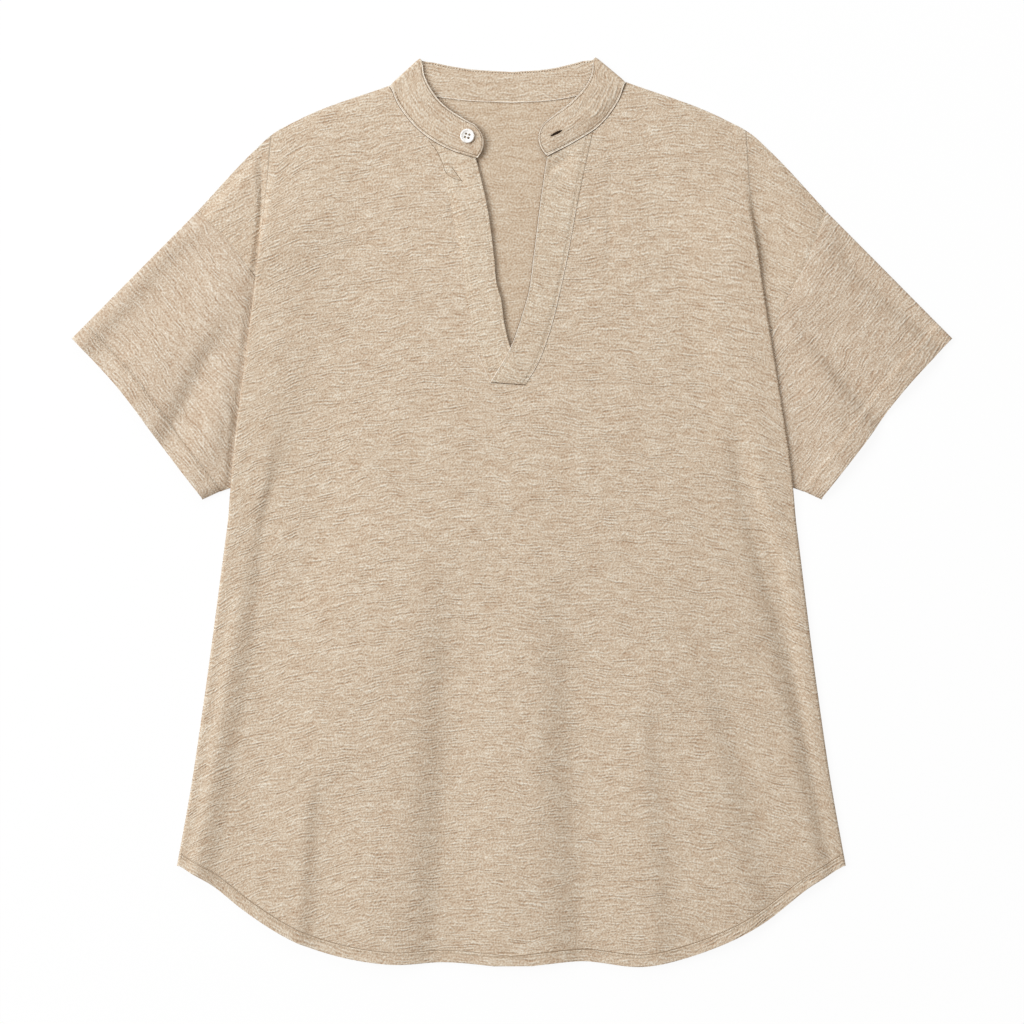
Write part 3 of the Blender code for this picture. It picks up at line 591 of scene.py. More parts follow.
# The courses arch down, by millimetres for each square millimetre outwards, and beside a fold
RIGHT_ARCH, LEFT_ARCH, LEFT_ARCH_FROM = 0.0006, 0.0008, 80
EDGE_ARCH = (8, 25)
LEFT_CHEST_RISE, LEFT_CHEST = 0.12, (60, 240)
STRIP_STEPS = 13
MIDDLE_SHARES = np.linspace(0, 1, 11)      # across the narrow strip below the slit
SEAM_DIP, SEAM_SINKS = 2.2, 0.1     # of the cloth on each side of the armhole seam
SEAM_CREASE_RUN = 6
AT_SHOULDER = 1.85       # the middle of the front's wall along the shoulder
SHOULDER_SLOPE = 0.7     # of the outline there, to turn heights into distances from it
STRIP_GRAIN_TURN = 28    # of the courses outside the folded edge, in degrees
EDGE_RUN, UNDERARM_RUN = 13, 8


def coons(inner, outer, top, bottom):
    """A grid between four edges. Rows run from inner to outer, from the top down."""
    across = np.linspace(0, 1, len(top))[None, :, None]
    down = (lengths(outer) / lengths(outer)[-1])[:, None, None]
    return ((1 - across) * inner[:, None] + across * outer[:, None]
            + (1 - down) * top + down * bottom
            - (1 - down) * ((1 - across) * inner[0] + across * outer[0])
            - down * ((1 - across) * inner[-1] + across * outer[-1]))


def hem_edge(side, inner_x, outer_end):
    """The hem's edge and the hem line above it, from the middle to the side."""
    hem = through(side.hem)
    edge = at_share(hem[hem[:, 0] >= inner_x - TOLERANCE], COLUMNS)
    line = offset(edge, HEM_DEPTH)
    line[0] = edge[0] + [0, HEM_DEPTH]
    return edge, line + (outer_end - line[-1]) * COLUMNS[:, None]**CORNER_POWER


def hem_rows(line, edge):
    return line + np.array(HEM_ROWS)[:, None, None] * (edge - line)


def front_inner_line(side):
    """Neck seam, slit and middle line of one half of the front, with the lengths of its corners."""
    seam = through(side.neck_seam)
    outer = through(side.placket_outer)
    inwards = np.array(BAND_INWARDS) * BAND_LAP
    neck = seam + inwards * ease(np.linspace(0, 1, len(seam)) / BAND_LAP_RUN)[:, None]
    slit = outer - np.array([PLACKET_LAP, 0])
    slit = slit[slit[:, 1] < slit[0, 1] - BAND_LAP]
    neck = neck[neck[:, 0] > slit[0, 0] + 1]
    slit = slit[(slit[:, 0] > SLIT_HALF_WIDTH) & (slit[:, 1] > SLIT_BOTTOM + SLIT_CORNER)]
    hem_y = np.interp(SLIT_HALF_WIDTH, *through(side.hem).T) + HEM_DEPTH
    foot = np.linspace([SLIT_HALF_WIDTH, SLIT_BOTTOM], [SLIT_HALF_WIDTH, hem_y], 60)
    line = np.concatenate([neck, slit, foot])
    along = lengths(line)
    return line, [0, along[len(neck)], along[len(neck) + len(slit)], along[-1]]


def front_flat(side, folded):
    """One half of the front's top layer, in outward x."""
    line, corners = front_inner_line(side)
    rows = np.array(ROW_Y[:HEM_ROW + 1], float)
    marks = [-rows[0], -rows[PLACKET_TOP_ROW], -rows[SLIT_BOTTOM_ROW], -rows[-1]]
    inner = at_length(line, np.interp(-rows, marks, corners))
    outer = folded.starts[:HEM_ROW + 1, :2]
    outline = through(side.outline_top)
    share = COLUMNS[:, None]
    top = at_share(outline[outline[:, 0] < outer[0, 0]], COLUMNS)
    edge, bottom = hem_edge(side, SLIT_HALF_WIDTH, outer[-1])
    bottom += (inner[-1] - bottom[0]) * (1 - share)
    top += (inner[0] - top[0]) * (1 - ease(share / NECK_RUN))
    top += (outer[0] - top[-1]) * share
    flat = coons(inner, outer, top, bottom)
    edge = edge + (folded.starts[-1, :2] - edge[-1]) * share**CORNER_POWER
    hem = hem_rows(flat[-1], edge)
    hem[:, -1] = folded.starts[HEM_ROW + 1:, :2]
    return np.concatenate([flat, hem])


def front_half(side, folded):
    """The grid of one half of the front's top layer, and its grain."""
    flat = mirrored(side, front_flat(side, folded))
    x, y = flat[..., 0], flat[..., 1]
    from_edge = np.linalg.norm(flat - flat[:, -1:], axis=2)
    bed = [table(EDGES if at > UNDERARM_Y else WRAPS, "run", at) + BED_LAP for at in ROW_Y]
    bed = np.array(bed)[:, None]
    settles = np.interp(ROW_Y, *FOLD_SETTLES)[:, None]
    lift = 1 - ease((from_edge - bed) / (settles - bed))
    height = front_height(x, y) + front_detail(x, y) * ease(from_edge / DETAIL_RUN)
    height = height + lift * (folded.starts[:, 2:] - height)
    height[0] = np.minimum(height[0], ON_BACK - GAP)
    height[0, -1] = folded.starts[0, 2]
    height[HEM_ROW + 1:] += (TURNED_WALL - WALL) / 2 * (1 - lift[HEM_ROW + 1:])
    deeper = np.interp(np.abs(x[HEM_ROW:]), *GROOVE_BY_X)
    height[HEM_ROW:] -= np.array(HEM_GROOVE)[:, None] * deeper
    grain = courses(side, flat, from_edge)
    for row in range(HEM_ROW + 1, len(flat)):
        grain[row, :, 0] = flat[row, 0, 0] + side.sign * lengths(flat[row])
        grain[row, :, 1] = flat[row, 0, 1]
    return lifted(flat, height), grain


def courses(side, flat, from_edge):
    """Each point's place on the knit, whose courses arch down towards the folded edges."""
    outward, y = np.abs(flat[..., 0]), flat[..., 1]
    drop = EDGE_ARCH[0] * np.exp(-from_edge / EDGE_ARCH[1])
    if side is RIGHT:
        drop = drop + outward**2 * RIGHT_ARCH
    else:
        drop = drop + np.maximum(outward - LEFT_ARCH_FROM, 0)**2 * LEFT_ARCH
        drop = drop - outward * LEFT_CHEST_RISE * ease((y - LEFT_CHEST[0]) / LEFT_CHEST[1])
    return np.stack([flat[..., 0], y + drop], -1)


def front_strip(folded):
    """The front outside its folded edge, down to the armhole seam."""
    side = folded.side
    outline = through(side.outline_top)
    strip = []
    for row, (lap, seam) in enumerate(zip(folded.laps, folded.seam)):
        share = np.linspace(0, 1, STRIP_STEPS)[1:]
        steps = lap[-1, :2] + np.outer(share, seam - lap[-1, :2])
        limit = np.interp(steps[:, 0], *outline.T)
        if row == 0:
            steps[:, 1] = limit
        x, y = side.sign * steps[:, 0], steps[:, 1]
        from_seam = np.linalg.norm(steps - seam, axis=1)
        height = sleeve_height(side, x, y)
        height = height + creases(SLEEVE_CREASES, x, y) * ease(from_seam / SEAM_CREASE_RUN)
        below = ease((limit - y) * SHOULDER_SLOPE / EDGE_RUN)
        height = AT_SHOULDER + (height - AT_SHOULDER) * below
        height = height - SEAM_SINKS * (1 - ease(from_seam / SEAM_DIP))
        strip.append(np.concatenate([lap, lifted(steps, height)]))
    return np.array(strip)


def front_panel(folds, material):
    cloth = Cloth("front_panel_cloth")
    inner_edges = []
    for folded in folds:
        side = folded.side
        half, grain = front_half(side, folded)
        cloth.add(half, ROW_WALLS, grain)
        turns = mirrored(side, np.array(folded.turns))
        round_fold = grain[:, -1:] + turns[..., :2] - half[:, -1:, :2]
        for row, turn in enumerate(turns):
            round_fold[row, :, 0] = grain[row, -1, 0] + side.sign * lengths(turn)
        cloth.add(turns, ROW_WALLS, round_fold)
        strip = mirrored(side, front_strip(folded))
        cloth.add(strip, WALL, turned(strip[..., :2], -side.sign * STRIP_GRAIN_TURN))
        inner_edges.append(half[SLIT_BOTTOM_ROW:, 0])
    right, left = inner_edges
    middle = np.stack([right + (left - right) * share for share in MIDDLE_SHARES], 1)
    x, y = middle[..., 0], middle[..., 1]
    base = front_height(x, y) + loose(x, y, FRONT_SEED)
    from_hem = ease((y - y[-1:]) / DETAIL_RUN)
    middle[:, 1:-1, 2] += ((base - middle[..., 2]) * from_hem)[:, 1:-1]
    cloth.add(middle, ROW_WALLS[SLIT_BOTTOM_ROW:])
    return cloth.build(material)


def back_half(side, folded):
    """The grid of one half of the back, flat on the surface that the top lies on."""
    seam = folded.seam_on_floor()[1:, :2] - [GAP, 0]
    outer = np.concatenate([armhole_back(side), seam])[:HEM_ROW + 1]
    neck = np.array([line[0] for line in band_back(side)])[::-1, :2] - [0, NECK_STEP]
    shoulder = at_share(through(side.outline_top), np.linspace(SHOULDER_FROM, 1, 40))
    top = at_share(np.concatenate([neck, shoulder]), COLUMNS)
    edge, bottom = hem_edge(side, 0, outer[-1])
    up = [0, BACK_HEM_UP]
    edge = edge + up + (seam[-1] - edge[-1] - up) * COLUMNS[:, None]**CORNER_POWER
    down = (ROW_Y[0] - np.array(ROW_Y[:HEM_ROW + 1])) / (ROW_Y[0] - ROW_Y[HEM_ROW])
    inner = top[0] + down[:, None] * (bottom[0] - top[0])
    flat = coons(inner, outer, top, bottom)
    flat = np.concatenate([flat, hem_rows(flat[-1], edge)])
    return mirrored(side, lifted(flat, ROW_WALLS / 2))


def back_panel(folds, material):
    cloth = Cloth("back_panel_cloth")
    for folded in folds:
        cloth.add(back_half(folded.side, folded), ROW_WALLS)
    return cloth.build(material)


# --- sleeves ---

RING_SHARES = np.concatenate([np.linspace(0, 1, 34), [1.04, 1.15, 1.4, 1.7, 2]])
RING_RADII = ([0, 0.15, 0.3, 0.6, 1, 2], [0.8, 1.1, 1.4, 1.7, 1.7, 1.7])
UNDERARM_RADIUS = 0.8
OUT_OF_TOP, OUT_OF_UNDERARM = np.array([0.71, 0.70]), np.array([0.35, -0.94])
SLEEVE_TURN = np.radians([72, 48, 24, 0, -24, -48, -72])
UNDERARM_FADE = 0.1
SLEEVE_DETAIL_RUN = 12      # from the armhole seam, over which the sleeve's detail comes in
SEAM_SEEN_FROM_Y = 60


def cuff_lines(count):
    """The cuff's edge and the hem line above it, from the sleeve's top edge to the underarm."""
    share = np.linspace(0, 1, count)
    cuff = at_share(through(CUFF), share)
    run = cuff[-1] - cuff[0]
    hem = cuff + unit([run[1], -run[0]]) * CUFF_DEPTH
    top = cuff[0] + unit(np.subtract(*SLEEVE_TOP)) * CUFF_DEPTH
    under = at_length(through(UNDERARM[::-1]), [CUFF_DEPTH])[0]
    hem += np.outer(1 - share, top - hem[0]) + np.outer(share, under - hem[-1])
    return hem, cuff


def sleeve_layer(seam, share, hem, cuff):
    """One layer of one ring, from the sleeve's top edge to the underarm."""
    if share > 1:
        return hem + (cuff - hem) * (share - 1)
    across = np.linspace(0, 1, len(seam))
    under = through([seam[-1]] + UNDERARM[1:])
    under = at_share(under[under[:, 0] <= hem[-1, 0] + TOLERANCE], share)
    line = seam + (hem - seam) * share
    return line + np.outer(across, under - line[-1]) * ease((1 - share) / UNDERARM_FADE)


def draw_in(line, end, inner, outwards, room):
    back = unit(line[inner] - line[end])
    line[end] += back * room / np.dot(back, -outwards)


def sleeve_turn(above, below, outwards, radius, floor):
    return [[*((above + below) / 2 + outwards * radius * math.cos(angle)),
             floor + radius * (1 + math.sin(angle))] for angle in SLEEVE_TURN]


def sleeve_ring(side, share, seams, hem, cuff):
    """One ring of a flattened tube, in outward x, and its wall."""
    radius = np.interp(share, *RING_RADII)
    wall = WALL if share <= 1 else TURNED_WALL
    floor = wall / 2 + SLEEVE_CLEARANCE
    layers = []
    for seam in seams:
        line = sleeve_layer(seam, share, hem, cuff)
        near = [1 - ease(np.linalg.norm(line - line[end], axis=1) / run)
                for end, run in ((0, EDGE_RUN), (-1, UNDERARM_RUN))]
        draw_in(line, 0, 1, OUT_OF_TOP, radius + wall / 2)
        draw_in(line, -1, -2, OUT_OF_UNDERARM, UNDERARM_RADIUS + wall / 2)
        layers.append((line, *near))
    (upper, near_top, near_under), (lower, _, _) = layers
    x, y = side.sign * upper[:, 0], upper[:, 1]
    from_seam = np.linalg.norm(upper - seams[0], axis=1)
    detail = loose(x, y, SLEEVE_SEED) + creases(SLEEVE_CREASES, x, y)
    detail = detail * ease(from_seam / SLEEVE_DETAIL_RUN)
    dip = SEAM_SINKS * (1 - ease(from_seam / SEAM_DIP)) * (y > SEAM_SEEN_FROM_Y)
    height = sleeve_height(side, x, y) + floor - ON_FLOOR + detail - dip
    height += (floor + 2 * radius - height) * near_top
    height += (floor + 2 * UNDERARM_RADIUS - height) * near_under
    top_turn = sleeve_turn(upper[0], lower[0], OUT_OF_TOP, radius, floor)
    under_turn = sleeve_turn(upper[-1], lower[-1], OUT_OF_UNDERARM, UNDERARM_RADIUS, floor)
    ring = np.concatenate([lifted(upper, height)[::-1], top_turn, lifted(lower, floor),
                           under_turn[::-1]])
    return np.concatenate([ring, ring[:1]]), wall


def sleeve(folded, name, material):
    """One sleeve as a flattened tube: rings from the armhole to the cuff."""
    side = folded.side
    seams = folded.seam + SEAM_STEP, armhole_back(side) + SEAM_STEP
    hem, cuff = cuff_lines(len(folded.seam))
    rings, walls = zip(*(sleeve_ring(side, share, seams, hem, cuff) for share in RING_SHARES))
    grid = mirrored(side, np.array(rings))
    along = np.degrees(np.arctan2(*(np.subtract(CUFF[-1], CUFF[0]) * [side.sign, 1])[::-1]))
    grain = turned(grid[..., :2], along)
    grain[..., 0] -= grid[..., 2]       # so that it runs on round the edges
    cloth = Cloth(name)
    cloth.add(grid, np.array(walls)[:, None], grain)
    return cloth.build(material)


# --- collar band ---

ACROSS_BAND = np.array([0, 0.025, 0.05, 0.075, 0.1, 0.125, 0.16, 0.22, 0.29, 0.36, 0.43, 0.5, 0.57,
                        0.64, 0.71, 0.78, 0.84, 0.875, 0.9, 0.925, 0.95, 0.975, 1])
BAND_WELT = 0.28        # rise of the cloth between the band's edges
BAND_AT_FOLD, BAND_ON_FLOOR = 4.4, 1.0
BAND_TURN = (BAND_AT_FOLD - BAND_ON_FLOOR) / 2
BAND_TURN_ANGLES = np.radians([78, 60, 42, 24, 6, -6, -24, -42, -60, -78])
TIP_SETTLES = 0.2
BAND_CLIMBS = 0.42
ROUND_END, ROUND_END_FROM = 6, 0.82
EDGE_CLEARANCE, EDGE_SINKS = 0.36, 0.42     # from the front's upper face to the middle of the wall
ON_PLACKET_FROM, ON_PLACKET_BY = 0.5, 0.12
END_LIFTS, END_LIFTS_FROM, END_LIFTS_BY = 0.8, 0.78, 0.16
FRONT_LINES, BACK_LINES = 54, 40
BAND_WALLS = ([0, 0.06, 0.15, 0.88, 0.95, 1], [0.7, 1.1, 1.6, 1.6, 1.2, 0.9])     # across it
EDGE_LINE, TOP_LINE = 0.05, 0.95        # across the band, of the thread along its two edges
# Soft wrinkles along the band: at a share of its width, from one share of its length to another
BandWrinkle = namedtuple("BandWrinkle", "across start end height width")
BAND_WRINKLES = [BandWrinkle(0.42, 0.12, 0.6, -0.8, 0.05), BandWrinkle(0.62, 0.25, 0.8, -0.6, 0.05),
                 BandWrinkle(0.28, 0.45, 0.9, -0.5, 0.05)]
WRINKLE_FADE = 0.12
PLACKET_CLEARANCE = 0.1
PLACKET_WALLS = ([0, 0.05, 0.16, 0.9, 1], [0.32, 0.6, 1.0, 1.0, 0.8])     # across it


def across_profile(across):
    """Rise of the wall's middle across the band, as a soft crown."""
    crown = 1 - (2 * across - 1) ** 6
    return BAND_WELT * crown


def wrinkled(s):
    rise = np.zeros(len(ACROSS_BAND))
    for w in BAND_WRINKLES:
        fade = ease((s - w.start) / WRINKLE_FADE) * ease((w.end - s) / WRINKLE_FADE)
        rise += w.height * fade * np.exp(-((ACROSS_BAND - w.across) / w.width) ** 2)
    return rise


def band_outwards(side):
    fold = np.array(side.band_top[0]) - side.neck_seam[0]
    return unit([fold[1], -fold[0]])


def band_line(side, seam, top, share):
    low, high = at_share(seam, share), at_share(top, share)
    inset = band_outwards(side) * (BAND_TURN + TURNED_WALL / 2)
    return low + np.outer(ACROSS_BAND, high - low) - inset * (1 - ease(share / TIP_SETTLES))


def band_back(side):
    """Lines across the band's back part, from the tip to the middle of the neck."""
    seam, top = through(side.neck_seam_back), through(side.band_top_back)
    profile = across_profile(ACROSS_BAND)
    return [lifted(band_line(side, seam, top, s),
                   BAND_ON_FLOOR + profile * ease(s / TIP_SETTLES))
            for s in np.linspace(0, 1, BACK_LINES)]


def band_front(side):
    """Lines across the band's front part, from its rounded end to the tip."""
    seam, top = through(side.neck_seam), through(side.band_top)
    profile = across_profile(ACROSS_BAND)
    lines = []
    for s in np.linspace(1, 0, FRONT_LINES):
        line = band_line(side, seam, top, s)
        bulge = ROUND_END * ease((s - ROUND_END_FROM) / (1 - ROUND_END_FROM))
        line[:, 0] -= bulge * 4 * ACROSS_BAND * (1 - ACROSS_BAND)
        climb = (ON_PLACKET - BAND_AT_FOLD) * ease(s / BAND_CLIMBS)
        settled = ease(s / TIP_SETTLES)
        height = BAND_AT_FOLD + climb + profile * settled
        foot = front_top(side.sign * line[0, 0], line[0, 1]) + EDGE_CLEARANCE
        over = ease((s - ON_PLACKET_FROM) / ON_PLACKET_BY)
        foot += (PLACKET_CLEARANCE + PLACKET_WALLS[1][2]) * over
        sinks = np.maximum(height - foot, 0) * (1 - ease(ACROSS_BAND / EDGE_SINKS))
        sinks *= settled * (1 - END_LIFTS * ease((s - END_LIFTS_FROM) / END_LIFTS_BY))
        lines.append(lifted(line, height - sinks + wrinkled(s)))
    return lines


def band_tip(side, foot):
    outwards = band_outwards(side)
    return [lifted(foot + outwards * BAND_TURN * math.cos(angle),
                   BAND_ON_FLOOR + BAND_TURN * (1 + math.sin(angle)))
            for angle in BAND_TURN_ANGLES]


def band_sections():
    halves = []
    for side in (RIGHT, LEFT):
        front = band_front(side)
        half = front + band_tip(side, front[-1][:, :2]) + band_back(side)
        halves.append([mirrored(side, line) for line in half])
    right, left = halves
    return np.array(right + left[:-1][::-1])


def collar_band(material):
    cloth = Cloth("collar_band_cloth")
    sections = band_sections()
    middle = sections[:, len(ACROSS_BAND) // 2]
    run, width = np.broadcast_arrays(lengths(middle)[:, None],
                                     lengths(sections[len(sections) // 2])[None, :])
    cloth.add(sections, np.interp(ACROSS_BAND, *BAND_WALLS)[None, :], np.stack([run, width], -1))
    bpy.ops.mesh.primitive_cylinder_add(vertices=20, radius=0.5, depth=1)
    cutter = bpy.context.object
    cutter.dimensions = (BUTTONHOLE_LENGTH * MM, BUTTONHOLE_WIDTH * MM, 9 * MM)
    cutter.location = to_metres((BUTTONHOLE_X, BUTTONHOLE_Y, ON_PLACKET))
    cutter.rotation_euler = (0, 0, math.radians(BUTTONHOLE_TILT))
    bpy.context.view_layer.update()
    piece = cloth.build(material, cutter)
    bpy.data.objects.remove(cutter)
    return piece


# --- plackets ---

UNDER_CROSSING, TAPERS_FROM_Y = 0.55, 165       # of its wall, where the other placket crosses it
UNDER_ENDS = 0.955
TAPERS_BY = 30
CROSSING_LIFT, CROSSING_SPREAD, TAB_SETTLES = 0.95, 4, (100, 12)
PLACKET_STITCHES, STITCH_INSET = (0.1, 0.9), 2.6       # across it, and in from its foot
PLACKET_STITCH_SIZES = {"pitch": 2.7, "length": 1.9}
GROOVE_WIDTH, GROOVE_DEPTH = 0.025, 0.3        # of the wall along the edge stitches
PLACKET_GRAIN_TURN = 12


def crossing_lift(x, y):
    """Extra height of the left placket where it lies on the right one."""
    beneath = through(RIGHT.placket_inner)
    past = x + np.interp(-y, -beneath[:, 1], beneath[:, 0])
    over = (1 - ease(past / CROSSING_SPREAD)) * ease((y - TAB_SETTLES[0]) / TAB_SETTLES[1])
    return CROSSING_LIFT * over


def placket_edges(side, end=1):
    """The outer and the inner edge, in outward x."""
    share = np.linspace(0, end, 64)
    return [at_share(through(edge), share) for edge in (side.placket_outer, side.placket_inner)]


def placket(side, name, material):
    """One strip down the slit's edge. The right one ends under the left one's foot."""
    cloth = Cloth(name)
    outer, inner = placket_edges(side, UNDER_ENDS if side is RIGHT else 1)
    across = ACROSS_BAND[None, :, None]
    flat = mirrored(side, outer[:, None] + across * (inner - outer)[:, None])
    x, y = flat[..., 0], flat[..., 1]
    walls = np.interp(ACROSS_BAND, *PLACKET_WALLS)[None, :] + 0 * x
    if side is RIGHT:
        taper = ease((TAPERS_FROM_Y - y) / TAPERS_BY)
        walls = np.minimum(walls, 1 - (1 - UNDER_CROSSING) * taper)
    height = front_top(x, y) + PLACKET_CLEARANCE + walls / 2
    if side is LEFT:
        height = height + crossing_lift(x, y)
    groove = GROOVE_DEPTH * sum(np.exp(-((ACROSS_BAND - at) / GROOVE_WIDTH) ** 2)
                                for at in PLACKET_STITCHES)
    cloth.add(lifted(flat, height - groove / 2), walls - groove,
              turned(flat, -side.sign * PLACKET_GRAIN_TURN))
    return cloth.build(material)


# --- rolled edges and threads ---

WELT_SIDES = 8
WELT_RADIUS, EDGE_ROLL_RADIUS, ROLL_UP = 0.4, 0.38, 0.34
WELT_OUT, WELT_UP, WELT_UP_BACK = 0.2, 0.15, 0.8
WELT_FROM = 8       # lines of the band's right front part that it leaves out
LOW_FROM, LOW_BY = 1.2, 1.5      # heights over which the welt comes up from the floor
THREAD_OUT, THREAD_RISE, END_INSET = 0.85, 0.05, 0.65
ROLL_STOPS, THREAD_STOPS = 3, 4      # lines before the band's fold where its roll and thread end
UNDER_FROM, UNDER_BAND_OUT, UNDER_BAND_DOWN = 4, 0.5, 0.6      # the painted shadow line beneath the left part's free edge
SEAM_PROBE, SEAM_ROLL_RADIUS, SEAM_ROLL_RISE = 1.0, 0.36, -0.22
SEAM_SEEN_OUT = 1.5      # of the folded edge
EDGE_SEEN_BELOW_Y, EDGE_IN, EDGE_UP = 283, 0.35, -0.05
# placing the painted shadow line under the left placket's inner edge
UNDER_SEEN_ABOVE_Y, UNDER_OUT, UNDER_DOWN = 133, 0.3, 0.55
# placing the painted shadow line at the tab's foot, and the painted shade lines in the creases
FOOT_OUT, FOLD_SHADE_UP = 0.5, -0.06
OUTER_ROLL_IN, OUTER_ROLL_UP, OUTER_ROLL_FROM = 0.5, -0.12, 0.3
PLACKET_END = [(26.8, 125), (22.6, 116), (18.6, 106)]
PLACKET_FOLD_SHADES = [[(66.5, 297), (61, 290), (56, 280), (52.4, 271), (46, 266.5), (40.5, 265)],
                 [(48.4, 276), (44, 270), (39.6, 264)]]      # lines of painted shade in the creases pinched beside the right placket
HEM_STITCH_DEPTH, HEM_SEAM_DEPTH, HEM_INNER_DEPTH, HEM_SEAM_RISE = 8.1, 9.5, 7.2, -0.12
HEM_SEAM_RADII = {-1: 0.24, 1: 0.36}       # the light leaves the groove's shade weak on the left front, so the thread that paints it is thicker there


def surface(piece):
    mesh = piece.data
    return BVHTree.FromPolygons([v.co for v in mesh.vertices], [p.vertices for p in mesh.polygons])


def met(tree, x, y, down=-1):
    """Where an upright ray, from above unless down is 1, first meets the surface."""
    start = Vector(to_metres((x, y, -down * PROBE_HEIGHT)))
    return tree.ray_cast(start, Vector((0, 0, down)))[0]


def laid_on(line, trees, rise=0.0):
    """The line's points on the highest surface below them, in the parts that have one."""
    parts, part = [], []
    for x, y in [*line, (None, None)]:
        hits = [] if x is None else [met(tree, x, y) for tree in trees]
        heights = [(hit.z - CAD_LOW.z) / MM for hit in hits if hit is not None]
        if heights:
            part.append((x, y, max(heights) + rise))
        else:
            parts += [np.array(part)] if len(part) > 3 else []
            part = []
    return parts


def roll(name, lines, radii, material):
    """A thin rolled edge along each line of points, with one radius or one for each line."""
    bm = bmesh.new()
    layer = bm.loops.layers.uv.new("knit")
    for line, radius in zip(lines, np.broadcast_to(radii, len(lines))):
        run = units(np.gradient(line, axis=0))
        aside = units(np.cross(run, [0, 0, 1]))
        over = np.cross(aside, run)
        along = lengths(line)
        rows = []
        for angle in np.linspace(0, math.tau, WELT_SIDES, endpoint=False):
            ring = line + radius * (aside * math.cos(angle) + over * math.sin(angle))
            rows.append([bm.verts.new(to_metres(p)) for p in ring])
        rows.append(rows[0])
        for k, (first, second) in enumerate(zip(rows, rows[1:])):
            for n in range(len(line) - 1):
                face = bm.faces.new((first[n], second[n], second[n + 1], first[n + 1]))
                round_it = np.array([k, k + 1, k + 1, k]) * math.tau * radius / WELT_SIDES
                for loop, u, v in zip(face.loops, along[[n, n, n + 1, n + 1]], round_it):
                    loop[layer].uv = u, v
                face.smooth = True
        for n in (0, -1):
            bm.faces.new([row[n] for row in rows[:-1]])
    bmesh.ops.recalc_face_normals(bm, faces=bm.faces)
    return finished(bm, name, material)


def band_rolls(sections, material):
    """The rolled seam edge along the neck, and the rolled free edge of the band's front parts, in
    lighter cloth that paints their highlight.
    """
    edge = sections[:, 0]
    out = units((edge - sections[:, 1])[:, :2])
    low = 1 - ease((edge[:, 2] - LOW_FROM) / LOW_BY)
    rise = WELT_UP + (WELT_UP_BACK - WELT_UP) * low
    seam = np.concatenate([edge[:, :2] + out * WELT_OUT, (edge[:, 2] + rise)[:, None]], 1)
    first, last, top = (line + [0, 0, ROLL_UP]
                        for line in (sections[0], sections[-1], sections[:, -1]))
    free = [np.concatenate([first[:-1], top[:FRONT_LINES - ROLL_STOPS]]),
            np.concatenate([top[ROLL_STOPS - FRONT_LINES:], last[:-1][::-1]])]
    return [roll("neck_welt", [seam[WELT_FROM:]], WELT_RADIUS, material),
            roll("band_edge_roll", free, EDGE_ROLL_RADIUS, material)]


def seam_threads(sections, cloth_trees, band_tree, material, soft):
    """Dark thread along both sides of the neck's rolled seam and inside the band's free edge, partly
    seam thread and partly painted shade in the crevices beside them, and a painted shadow line
    beneath the left front part's free edge.
    """
    edge = sections[:, 0, :2]
    out = units(edge - sections[:, 1, :2])
    outside = laid_on(edge + out * THREAD_OUT, cloth_trees, THREAD_RISE)
    at_edge, at_top = nearest(ACROSS_BAND, EDGE_LINE), nearest(ACROSS_BAND, TOP_LINE)
    inside = []
    count = FRONT_LINES - THREAD_STOPS
    for half in (sections[:, :, :2], sections[::-1, :, :2]):
        end = half[0, at_edge:at_top + 1] + (half[1] - half[0])[at_edge:at_top + 1] * END_INSET
        inside += laid_on(np.concatenate([half[count:0:-1, at_edge], end, half[1:count, at_top]]),
                          [band_tree])
    left_front = np.concatenate([sections[UNDER_FROM - FRONT_LINES:, -1], sections[-1, :-1][::-1]])
    under = lifted(offset(left_front[:, :2], -UNDER_BAND_OUT), left_front[:, 2] - UNDER_BAND_DOWN)
    # the neck seam's outer line and the band's edge lines are partly thread and partly painted shade;
    # the line under the free edge is painted shadow only
    return [roll("neck_seam_thread_and_shadow", outside, 0.24, soft),
            roll("band_edge_thread_and_shade", inside, 0.18, material),
            roll("band_edge_painted_shadow", [under], 0.3, soft)]


def armhole_roll(folded, name, tree, material):
    """The pressed seam between the front and one sleeve, where the folded edge leaves it seen."""
    seam = folded.seam[:UNDERARM_ROW + 1, :2]
    seen = seam[seam[:, 0] > folded.edge[:UNDERARM_ROW + 1, 0] + SEAM_SEEN_OUT]
    inwards = mirrored(folded.side, seen - [SEAM_PROBE, 0])
    parts = [part + [folded.side.sign * (SEAM_PROBE + SEAM_STEP[0] / 2), 0, 0]
             for part in laid_on(inwards, [tree], SEAM_ROLL_RISE)]
    return roll(name, parts, SEAM_ROLL_RADIUS, material)


